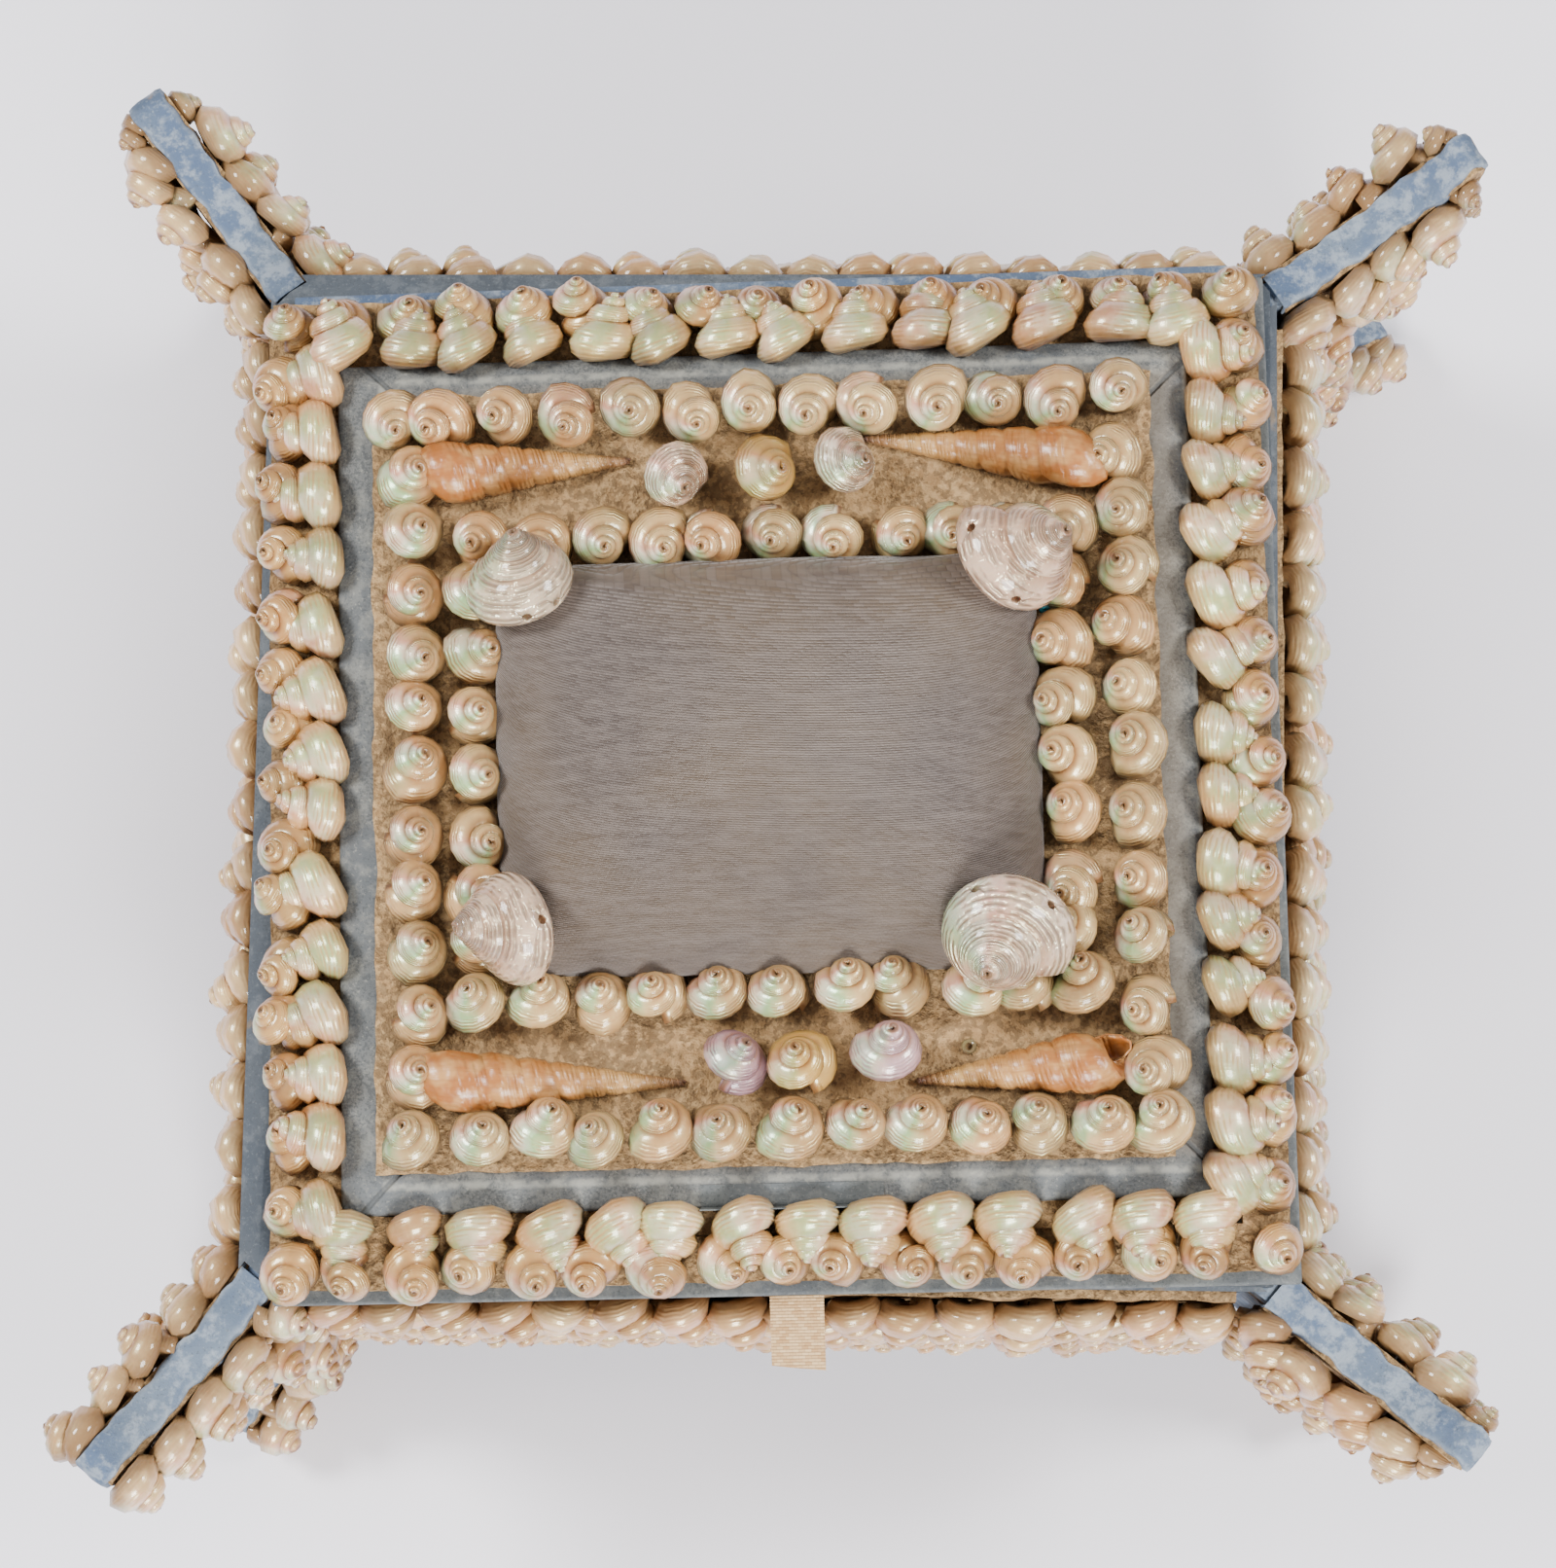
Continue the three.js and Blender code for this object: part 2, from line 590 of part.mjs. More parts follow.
function addFrameRows() {
  const height = ledgeHeight + GAP;
  const origin = new THREE.Vector2(0, 0);
  const standing = () => turned([[0, 0], [STANDING_RADIUS, 0], [0, STANDING_RISE]], 5);
  const lying = () => {
    const cone = turned([[0, 0], [LYING_RADIUS, 0], [0, LYING_LENGTH]], 4);
    return cone.rotateX(-Math.PI / 2 + LYING_TILT).translate(0, 0, LYING_BED);
  };
  addRing("lid_standing_shells", origin, { x: STANDING_OUT, y: STANDING_OUT }, height, pearl, (across) => {
    return shellRow({
      count: STANDING_COUNT - (across ? 0 : 2), pitch: STANDING_PITCH, shell: standing,
      bedWidth: STANDING_BED_WIDTH, bed: ROW_BED,
    });
  });
  addRing("lid_lying_shells", origin, { x: LYING_OUT, y: LYING_OUT }, height, pearl, () => {
    return shellRow({
      count: STANDING_COUNT - 3, pitch: STANDING_PITCH, shell: lying,
      bedWidth: LYING_BED_WIDTH, bed: LYING_BED,
    });
  });
}

// A large top shell in stepped whorls, its middle at the origin.
function largeShell(radius, swell = 0) {
  const rise = radius * LARGE_SLENDERNESS;
  const steps = [[0, 0], [0.6, 0.04], [1, 0.3], [0.95, 0.4], [0.66, 0.6], [0.6, 0.66], [0.3, 0.86], [0, 1]];
  const profile = steps.map(([r, h]) => [r * radius, h * rise]);
  const shell = turned(profile, 9).translate(0, 0, -rise * 0.35);
  const growth = 1 + swell / (radius * 0.5);
  return shell.scale(growth, growth, growth);
}

function largeShellPlace({ at, radius, towards, tilt }) {
  const turn = THREE.MathUtils.degToRad(towards);
  const axis = new THREE.Vector3(-Math.sin(turn), Math.cos(turn), 0);
  const place = new THREE.Matrix4().makeRotationAxis(axis, THREE.MathUtils.degToRad(tilt));
  return place.setPosition(at[0], at[1], puttyTop + ROW_BED + 2 * GAP + radius);
}

const largeBodies = Object.values(LARGE_SHELLS).map((shell) => {
  return solidOf(largeShell(shell.radius, GAP).applyMatrix4(largeShellPlace(shell)));
});

// Cuts a solid that stands in the lid clear of the four large shells.
function clearOfLargeShells(solid, place = new THREE.Matrix4()) {
  const there = solidOf(geometryOf(solid).applyMatrix4(place));
  const cut = largeBodies.reduce((left, body) => left.subtract(body), there);
  return solidOf(geometryOf(cut).applyMatrix4(place.clone().invert()));
}

function nearLargeShell(point) {
  return Object.values(LARGE_SHELLS).some(({ at, radius }) => {
    return Math.hypot(point.x - at[0], point.y - at[1]) < radius + RING_RADIUS * 0.45;
  });
}

function addRings() {
  const height = puttyTop + GAP;
  const leaning = () => lean(smallShell(RING_RADIUS, RING_RISE), RING_LEAN);
  for (const [name, ring] of [["outer_ring_shells", OUTER_RING], ["inner_ring_shells", INNER_RING]]) {
    const upright = 2 * Math.round(ring.y / ring.pitch) + 1;
    const level = 2 * Math.round(ring.x / ring.pitch) + 1;
    addRing(name, RING_CENTRE, ring, height, pearl, (across, place) => {
      const skip = (x) => nearLargeShell(new THREE.Vector3(x, 0, 0).applyMatrix4(place));
      const row = shellRow({
        count: across ? level : upright - 2, pitch: ring.pitch, shell: leaning,
        bedWidth: RING_BED_WIDTH, bed: ROW_BED, skip,
      });
      return clearOfLargeShells(row, place);
    });
  }
}

// A tower shell: a long cone with a swelling for each whorl, lying along +X from its wide end.
function lyingTower(length, radius, mouth) {
  const profile = mouth ? [[0, radius * 0.5], [radius * 0.72, 0]] : [[0, 0], [radius * 0.6, 0]];
  for (let whorl = 0; whorl < TOWER_WHORLS; whorl += 1) {
    const share = 1 - 0.93 * Math.pow(whorl / TOWER_WHORLS, 0.85);
    const start = length * Math.pow(whorl / TOWER_WHORLS, 0.85);
    const step = length * Math.pow((whorl + 1) / TOWER_WHORLS, 0.85) - start;
    profile.push([radius * share, start + step * 0.35], [radius * share * 0.86, start + step * 0.92]);
  }
  profile.push([0, length]);
  return turned(profile, TOWER_SIDES).rotateY(Math.PI / 2);
}

function addSingleShells() {
  const floor = puttyTop + GAP;
  for (const [name, tower] of Object.entries(TOWER_SHELLS)) {
    const wide = new THREE.Vector2(...tower.wide);
    const along = new THREE.Vector2(...tower.tip).sub(wide);
    const shell = lyingTower(along.length(), tower.radius, tower.mouth);
    const mesh = addMesh(lid, `tower_shell_${name}`, geometryOf(solidOf(shell)), towerShell);
    mesh.position.set(wide.x, wide.y, floor + tower.radius + GAP / 2);
    mesh.rotation.set(0, Math.asin(tower.radius * 0.9 / along.length()), along.angle(), "ZYX");
  }
  for (const [name, at] of Object.entries(CENTRE_SHELLS)) {
    const shell = turned([
      [0, 0], [CENTRE_RADIUS * 0.7, 0], [CENTRE_RADIUS, CENTRE_RISE * 0.28],
      [CENTRE_RADIUS * 0.6, CENTRE_RISE * 0.62], [0, CENTRE_RISE],
    ], 7);
    addMesh(lid, `centre_shell_${name}`, geometryOf(solidOf(shell)), silverShell).position.set(...at, floor);
  }
  for (const [name, large] of Object.entries(LARGE_SHELLS)) {
    const shell = geometryOf(solidOf(largeShell(large.radius)));
    const mesh = addMesh(lid, `large_shell_${name}`, shell, silverShell);
    mesh.applyMatrix4(largeShellPlace(large));
  }
  const bead = new THREE.IcosahedronGeometry(BEAD_RADIUS);
  const beadMesh = addMesh(lid, "turquoise_bead", geometryOf(solidOf(bead)), turquoise);
  beadMesh.position.set(BEAD_AT.x, BEAD_AT.y, floor + ROW_BED + GAP + BEAD_RADIUS);
}

// A crowned pad whose sides pull in between its corners.
function addPincushion() {
  const levels = [[0, 0.955], [0.42, 1], [0.68, 0.965], [0.86, 0.82], [1, 0.36]];
  const around = 16;
  const corners = [];
  const ringPoint = ([rise, spread], k) => {
    const turn = (k % around) / around * 2 * Math.PI;
    const square = 1 / Math.pow(Math.abs(Math.cos(turn)) ** 7 + Math.abs(Math.sin(turn)) ** 7, 1 / 7);
    const x = Math.cos(turn) * square * spread * CUSHION_X / 2;
    const y = Math.sin(turn) * square * spread * CUSHION_Y / 2;
    return [x, y, rise * CUSHION_HEIGHT];
  };
  const face = (a, b, c) => corners.push(...a, ...b, ...c);
  for (let k = 0; k < around; k += 1) {
    for (let level = 0; level + 1 < levels.length; level += 1) {
      const [low, high] = [levels[level], levels[level + 1]];
      face(ringPoint(low, k), ringPoint(low, k + 1), ringPoint(high, k + 1));
      face(ringPoint(low, k), ringPoint(high, k + 1), ringPoint(high, k));
    }
    face(ringPoint(levels[0], k + 1), ringPoint(levels[0], k), [0, 0, 0]);
    face(ringPoint(levels.at(-1), k), ringPoint(levels.at(-1), k + 1), [0, 0, CUSHION_HEIGHT]);
  }
  const pad = new THREE.BufferGeometry();
  pad.setAttribute("position", new THREE.Float32BufferAttribute(corners, 3));
  const place = new THREE.Matrix4().setPosition(CUSHION_CENTRE.x, CUSHION_CENTRE.y, puttyTop + GAP);
  const mesh = addMesh(lid, "pincushion", geometryOf(clearOfLargeShells(solidOf(pad), place)), satin);
  mesh.applyMatrix4(place);
}

addBody();
addWallShells();
addFins();
addLidBoard();
addPlatform();
addFrameRows();
addRings();
addSingleShells();
addPincushion();

// The origin is the middle of the footprint, on the floor.
model.updateMatrixWorld(true);
const middle = new THREE.Box3().setFromObject(model, true).getCenter(new THREE.Vector3());
model.position.set(-middle.x, -middle.y, 0);

export default model;
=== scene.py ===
import math
import random

import bmesh
import bpy
import numpy as np
from mathutils import Matrix, Vector


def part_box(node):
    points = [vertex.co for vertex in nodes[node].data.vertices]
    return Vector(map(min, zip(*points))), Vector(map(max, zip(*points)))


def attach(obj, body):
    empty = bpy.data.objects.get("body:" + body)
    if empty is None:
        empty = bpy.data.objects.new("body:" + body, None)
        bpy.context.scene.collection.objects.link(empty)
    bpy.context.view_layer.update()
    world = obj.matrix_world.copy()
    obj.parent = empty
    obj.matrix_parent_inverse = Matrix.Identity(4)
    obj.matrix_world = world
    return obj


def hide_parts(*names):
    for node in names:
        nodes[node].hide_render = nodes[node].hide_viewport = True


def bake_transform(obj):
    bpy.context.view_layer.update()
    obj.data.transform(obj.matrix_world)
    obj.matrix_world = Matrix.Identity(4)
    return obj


# A shell-covered card box on four corner fins, its lid dressed with rings of pearly top shells
# round a satin pincushion. Metres; the front of the box is towards -Y.
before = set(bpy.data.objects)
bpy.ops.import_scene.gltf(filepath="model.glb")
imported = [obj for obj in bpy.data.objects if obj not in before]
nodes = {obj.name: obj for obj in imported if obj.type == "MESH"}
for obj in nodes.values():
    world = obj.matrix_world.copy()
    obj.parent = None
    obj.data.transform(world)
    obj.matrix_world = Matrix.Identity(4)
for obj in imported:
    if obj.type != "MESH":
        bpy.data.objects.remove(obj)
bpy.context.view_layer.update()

MM = 0.001
TURN = 2 * math.pi
SIDES = {"front": -90, "right": 0, "back": 90, "left": 180}

# Where things are: the box has its own plan frame, and the lid sits askew on it.
carcass_low, carcass_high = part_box("box_carcass")
carcass_middle = (carcass_low + carcass_high) / 2
WALL = (carcass_high.x - carcass_low.x) / 2
BODY_BOTTOM = carcass_low.z
RIM_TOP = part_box("rim_binding")[1].z
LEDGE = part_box("lid_board")[1].z
BOARD_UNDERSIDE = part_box("lid_board")[0].z
PUTTY_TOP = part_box("lid_putty_bed")[1].z
LID_SKEW = math.radians(2)
STEP_RIDGE = 71.5 * MM
LID_OFFSET = Vector((0.2, -0.6, 0)) * MM
BOX = Matrix.Translation((carcass_middle.x, carcass_middle.y, 0))
LID = BOX @ Matrix.Translation(LID_OFFSET) @ Matrix.Rotation(LID_SKEW, 4, "Z")


def lid_bed(height):
    """The lid's plan frame, raised to a height."""
    return LID @ Matrix.Translation((0, 0, height))


# The camera stands over the front of the box, a little to the right, as the photographer did.
CAMERA_OVER_BOX = Vector((0.042, -0.107, 0.811))
CAMERA_TURN = [math.radians(angle) for angle in (8.5252, 3.1437, 0.8356)]
CAMERA_LENS = 93.42

camera_data = bpy.data.cameras.new("camera")
camera_data.lens = CAMERA_LENS
camera_data.sensor_width = 36
camera_data.sensor_fit = "HORIZONTAL"
camera = bpy.data.objects.new("camera", camera_data)
camera.location = BOX @ CAMERA_OVER_BOX
camera.rotation_euler = CAMERA_TURN
bpy.context.scene.collection.objects.link(camera)
bpy.context.scene.camera = camera


# Node helpers


def shade(hex_colour):
    """An sRGB hex colour as Blender's linear one."""
    parts = [int(hex_colour[i:i + 2], 16) / 255 for i in (0, 2, 4)]
    return (*[p / 12.92 if p < 0.04045 else ((p + 0.055) / 1.055) ** 2.4 for p in parts], 1)


def put(tree, kind, settings=None, **inputs):
    """Adds a node. Inputs go by socket name, with _ for a space, as a value or as another node's socket."""
    node = tree.nodes.new(kind)
    for key, value in (settings or {}).items():
        setattr(node, key, value)
    for key, value in inputs.items():
        feed(tree, node.inputs[key.replace("_", " ")], value)
    return node


def feed(tree, socket, value):
    if isinstance(value, bpy.types.NodeSocket):
        tree.links.new(value, socket)
    else:
        socket.default_value = value


def calc(tree, operation, *values):
    node = tree.nodes.new("ShaderNodeMath")
    node.operation = operation
    for socket, value in zip(node.inputs, values):
        feed(tree, socket, value)
    return node.outputs[0]


def fade(tree, value, start, end, low=0.0, high=1.0):
    """Runs smoothly from low to high as value goes from start to end."""
    node = put(tree, "ShaderNodeMapRange", {"interpolation_type": "SMOOTHSTEP"}, Value=value,
               From_Min=start, From_Max=end, To_Min=low, To_Max=high)
    return node.outputs[0]


def blend_colour(tree, share, first, second, how="MIX"):
    node = tree.nodes.new("ShaderNodeMix")
    node.data_type = "RGBA"
    node.blend_type = how
    feed(tree, node.inputs[0], share)
    feed(tree, node.inputs[6], first)
    feed(tree, node.inputs[7], second)
    return node.outputs[2]


def noise(tree, vector, scale, detail=2.0, roughness=0.5):
    node = put(tree, "ShaderNodeTexNoise", Vector=vector, Scale=scale, Detail=detail, Roughness=roughness)
    return node.outputs[0]


def ramp(tree, value, stops):
    """Colour stops, given as (place, sRGB hex), read at a value."""
    node = put(tree, "ShaderNodeValToRGB", Fac=value)
    while len(node.color_ramp.elements) < len(stops):
        node.color_ramp.elements.new(0.5)
    for element, (at, colour) in zip(node.color_ramp.elements, stops):
        element.position = at
        element.color = shade(colour)
    return node.outputs["Color"]


def parts(tree, vector):
    return put(tree, "ShaderNodeSeparateXYZ", Vector=vector).outputs


def attribute(tree, name):
    return put(tree, "ShaderNodeAttribute", {"attribute_name": name})


def object_place(tree, turn=0.0):
    """Object coordinates, turned in plan."""
    place = put(tree, "ShaderNodeTexCoord").outputs["Object"]
    if not turn:
        return place
    return put(tree, "ShaderNodeMapping", Vector=place, Rotation=(0, 0, -turn)).outputs[0]


def new_group(name, inputs, outputs):
    """A node group with named sockets, given as (name, type, default) and (name, type)."""
    tree = bpy.data.node_groups.new(name, "ShaderNodeTree")
    for label, kind, value in inputs:
        tree.interface.new_socket(label, in_out="INPUT", socket_type=kind).default_value = value
    for label, kind in outputs:
        tree.interface.new_socket(label, in_out="OUTPUT", socket_type=kind)
    return tree, tree.nodes.new("NodeGroupInput").outputs, tree.nodes.new("NodeGroupOutput").inputs


def use_group(tree, group, **inputs):
    node = tree.nodes.new("ShaderNodeGroup")
    node.node_tree = group
    for key, value in inputs.items():
        feed(tree, node.inputs[key.replace("_", " ")], value)
    return node.outputs


def new_material(name, **plain):
    """A material and its Principled shader, whose plain values are set by socket name."""
    material = bpy.data.materials.new(name)
    material.use_nodes = True
    shader = material.node_tree.nodes["Principled BSDF"]
    for key, value in plain.items():
        shader.inputs[key.replace("_", " ")].default_value = value
    return material, material.node_tree, shader


def finish_material(tree, shader, colour, roughness, height, distance):
    """Feeds the shader, with the height as bump of that depth in metres."""
    bump = put(tree, "ShaderNodeBump", Height=height, Strength=1.0, Distance=distance)
    feed(tree, shader.inputs["Base Color"], colour)
    feed(tree, shader.inputs["Roughness"], roughness)
    feed(tree, shader.inputs["Normal"], bump.outputs[0])


# Shared effects

FLOAT, VECTOR = "NodeSocketFloat", "NodeSocketVector"


def growth_group():
    """The marks that a coiled shell grows: cords along the whorls, growth lines across them, a
    dirty suture and a foot darkened by dust and painted shade. It reads the growth, tone and lift that each
    shell carries."""
    tree, given, out = new_group("shell_growth", [
        ("Cords", FLOAT, 26.0), ("Cord Depth", FLOAT, 1.0), ("Cord Top", FLOAT, 0.06),
        ("Foot", FLOAT, 0.003),
    ], [("Height", FLOAT), ("Suture", FLOAT), ("Foot Dust And Shade", FLOAT), ("Lines", FLOAT),
        ("Cord Lines", FLOAT)])
    along, across, _ = parts(tree, attribute(tree, "growth").outputs["Vector"])[:3]
    place = object_place(tree)
    wander = calc(tree, "MULTIPLY", noise(tree, place, 260.0), 0.02)
    pace = calc(tree, "MULTIPLY", given["Cords"], TURN)
    wave = calc(tree, "SINE", calc(tree, "MULTIPLY", calc(tree, "ADD", across, wander), pace))
    lower = fade(tree, across, given["Cord Top"], calc(tree, "SUBTRACT", given["Cord Top"], 0.1))
    patchy = fade(tree, noise(tree, place, 330.0), 0.35, 0.6)
    cords = calc(tree, "MULTIPLY", calc(tree, "MULTIPLY", wave, given["Cord Depth"]),
                 calc(tree, "MULTIPLY", lower, patchy))
    steps = put(tree, "ShaderNodeCombineXYZ", X=calc(tree, "MULTIPLY", along, 34.0),
                Y=calc(tree, "MULTIPLY", across, 2.0), Z=attribute(tree, "tone").outputs["Fac"])
    lines = noise(tree, steps.outputs[0], 1.0, 3.0, 0.6)
    height = calc(tree, "ADD", calc(tree, "MULTIPLY", cords, 0.5), calc(tree, "MULTIPLY", lines, 0.6))
    grooves = calc(tree, "MULTIPLY", fade(tree, wave, 0.1, -0.9), calc(tree, "MULTIPLY", lower, patchy))
    ragged = calc(tree, "MULTIPLY", noise(tree, place, 900.0, 3.0), 0.09)
    suture = fade(tree, calc(tree, "ADD", across, ragged), 0.215, 0.285)
    # Dust and painted shade at the foot: darker the nearer a point lies to the bed
    lift = attribute(tree, "lift").outputs["Fac"]
    drift = calc(tree, "MULTIPLY", noise(tree, place, 420.0, 3.0), 0.004)
    dust_and_shade = fade(tree, calc(tree, "SUBTRACT", lift, drift), given["Foot"], -0.001)
    made = {"Height": height, "Suture": suture, "Foot Dust And Shade": dust_and_shade, "Lines": lines, "Cord Lines": grooves}
    for name, value in made.items():
        feed(tree, out[name], value)
    return tree


def grime_group():
    """Fine dark specks and broad stains, as old paper and putty gather."""
    tree, given, out = new_group("grime", [
        ("Vector", VECTOR, (0, 0, 0)), ("Speck Size", FLOAT, 0.0004), ("Amount", FLOAT, 0.5),
    ], [("Specks", FLOAT), ("Stain", FLOAT), ("Fine", FLOAT)])
    grain = calc(tree, "DIVIDE", 0.5, given["Speck Size"])
    fine = noise(tree, given["Vector"], grain, 3.0, 0.6)
    broad = noise(tree, given["Vector"], 45.0, 4.0, 0.6)
    dirty = calc(tree, "MULTIPLY", broad, given["Amount"])
    limit = calc(tree, "SUBTRACT", 0.72, calc(tree, "MULTIPLY", dirty, 0.5))
    specks = fade(tree, calc(tree, "SUBTRACT", fine, limit), 0.0, 0.06)
    feed(tree, out["Specks"], specks)
    feed(tree, out["Stain"], fade(tree, broad, 0.35, 0.7))
    feed(tree, out["Fine"], fine)
    return tree


def weave_group():
    """Threads that pass over and under: a height and a thread mask, from a plan vector."""
    tree, given, out = new_group("weave", [
        ("Vector", VECTOR, (0, 0, 0)), ("Thread", FLOAT, 0.0004), ("Float Length", FLOAT, 0.0012),
        ("Step", FLOAT, 0.37),
    ], [("Height", FLOAT), ("Thread Tone", FLOAT)])
    x, y, _ = parts(tree, given["Vector"])[:3]
    row = calc(tree, "DIVIDE", y, given["Thread"])
    number = calc(tree, "FLOOR", row)
    shift = calc(tree, "MULTIPLY", number, given["Step"])
    column = calc(tree, "ADD", calc(tree, "DIVIDE", x, given["Float Length"]), shift)
    arch = calc(tree, "SINE", calc(tree, "MULTIPLY", calc(tree, "FRACT", row), math.pi))
    bow = calc(tree, "SINE", calc(tree, "MULTIPLY", calc(tree, "FRACT", column), math.pi))
    cell = put(tree, "ShaderNodeCombineXYZ", X=calc(tree, "FLOOR", column), Y=number)
    tone = put(tree, "ShaderNodeTexWhiteNoise", {"noise_dimensions": "2D"}, Vector=cell.outputs[0])
    feed(tree, out["Height"], calc(tree, "MULTIPLY", arch, calc(tree, "POWER", bow, 0.35)))
    feed(tree, out["Thread Tone"], tone.outputs[0])
    return tree


GROWTH = growth_group()
GRIME = grime_group()
WEAVE = weave_group()


# Materials

# Painted shade: the amber that darkens each whorl towards its suture
AMBER_SHADE = "94592a"
# Painted sheen: the green, cream and rose reflections laid across a shell's whorls
PAINTED_SHEEN_COLOURS = [(0.3, "e8cfa0"), (0.43, "78c488"), (0.5, "bfe4c4"), (0.57, "fdf0d8"), (0.65, "e89890"),
                 (0.74, "e8cfa0")]
TOWER_COLOURS = [(0.0, "7e5a58"), (0.25, "a6784f"), (0.5, "b08a50"), (0.8, "a8703a"), (1.0, "a0602c")]


def pearl(name, pale, warm, gleam, deep, dirty=0.5, painted_lustre=0.5, cords=26.0, cord_top=0.06, grooves=0.3,
          foot=0.003, rough=0.3, relief=0.00016):
    """Stripped mother-of-pearl: pale to warm by shell, with painted amber shade towards its sutures and dirt
    in them, dust and painted shade at its foot, and a painted sheen: a wedge of green and rose reflections
    across its whorls."""
    material, tree, shader = new_material(
        name, Metallic=0.15, Coat_Weight=0.7, Coat_Roughness=0.1, Thin_Film_Thickness=420.0,
        Thin_Film_IOR=1.6, Subsurface_Weight=0.15, Subsurface_Radius=(1.0, 0.45, 0.2),
        Subsurface_Scale=0.002)
    marks = use_group(tree, GROWTH, Cords=cords, Cord_Depth=0.2 + 2.5 * grooves, Cord_Top=cord_top,
                      Foot=foot)
    place = object_place(tree)
    value, warmth, sheen_turn = parts(tree, attribute(tree, "tone").outputs["Vector"])[:3]
    along, across, _ = parts(tree, attribute(tree, "growth").outputs["Vector"])[:3]
    body = blend_colour(tree, warmth, shade(pale), shade(warm))
    body = blend_colour(tree, calc(tree, "MULTIPLY", marks["Lines"], 0.35), body, shade(gleam))
    # Painted amber shade, deepening from the whorl's shoulder up to its suture
    body = blend_colour(tree, fade(tree, across, 0.0, 0.23, 0.0, 0.85), body, shade(AMBER_SHADE))
    # A painted sheen: a wedge of green, cream and rose reflections across the whorls, turned to one side,
    # strongest at each whorl's shoulder and broken by the cords
    turned = calc(tree, "FRACT", calc(tree, "ADD", calc(tree, "SUBTRACT", along, sheen_turn), 0.5))
    wander = calc(tree, "MULTIPLY", calc(tree, "SUBTRACT", noise(tree, place, 300.0, 2.0), 0.5), 0.3)
    sheen_colours = ramp(tree, calc(tree, "ADD", turned, wander), PAINTED_SHEEN_COLOURS)
    sheen_wedge = fade(tree, calc(tree, "ABSOLUTE", calc(tree, "SUBTRACT", turned, 0.5)), 0.22, 0.08, 0.06, 1.0)
    sheen_belt = fade(tree, calc(tree, "ABSOLUTE", across), 0.22, 0.08, 0.2, 1.0)
    sheen_streak = fade(tree, marks["Cord Lines"], 0.0, 0.8, 1.0, 0.3)
    painted_sheen_mask = calc(tree, "MULTIPLY", calc(tree, "MULTIPLY", sheen_wedge, sheen_belt),
                 calc(tree, "MULTIPLY", sheen_streak, painted_lustre))
    body = blend_colour(tree, painted_sheen_mask, body, sheen_colours)
    body = blend_colour(tree, calc(tree, "MULTIPLY", marks["Cord Lines"], grooves), body, shade(deep))
    light = calc(tree, "ADD", 0.8, calc(tree, "MULTIPLY", value, 0.32))
    grey = put(tree, "ShaderNodeCombineColor", Red=light, Green=light, Blue=light)
    body = blend_colour(tree, 1.0, body, grey.outputs[0], "MULTIPLY")
    # Dirt in smears and in the sutures, with dust and painted shade at the foot
    smear = fade(tree, noise(tree, place, 150.0, 3.0), 0.45, 0.75, 0.0, dirty * 0.6)
    soil_and_shade = calc(tree, "MAXIMUM", calc(tree, "MULTIPLY", marks["Suture"], 0.35 + 0.5 * dirty),
                calc(tree, "MAXIMUM", calc(tree, "MULTIPLY", marks["Foot Dust And Shade"], 0.8), smear))
    body = blend_colour(tree, soil_and_shade, body, shade(deep))
    roughness = fade(tree, soil_and_shade, 0.0, 0.8, rough, 0.75)
    finish_material(tree, shader, body, roughness, marks["Height"], relief)
    return material


def tower_material():
    """Worn tower shell: glossy orange at the mouth, paler and mauve towards the tip."""
    material, tree, shader = new_material("tower_shell", Coat_Weight=0.35, Coat_Roughness=0.2)
    marks = use_group(tree, GROWTH, Cords=18.0, Foot=0.0012)
    share = parts(tree, attribute(tree, "growth").outputs["Vector"])[2]
    place = object_place(tree)
    band = fade(tree, noise(tree, place, 300.0, 2.0), 0.4, 0.65, 0.0, 0.5)
    body = blend_colour(tree, band, ramp(tree, share, TOWER_COLOURS), shade("d0a468"))
    body = blend_colour(tree, fade(tree, marks["Lines"], 0.35, 0.75, 0.0, 0.5), body, shade("8a5424"))
    # Dirt in the sutures, with dust and painted shade at the foot
    soil_and_shade = calc(tree, "MAXIMUM", calc(tree, "MULTIPLY", marks["Suture"], 0.85),
                calc(tree, "MULTIPLY", marks["Foot Dust And Shade"], 0.6))
    body = blend_colour(tree, soil_and_shade, body, shade("7d5736"))
    finish_material(tree, shader, body, 0.34, marks["Height"], 0.00022)
    return material


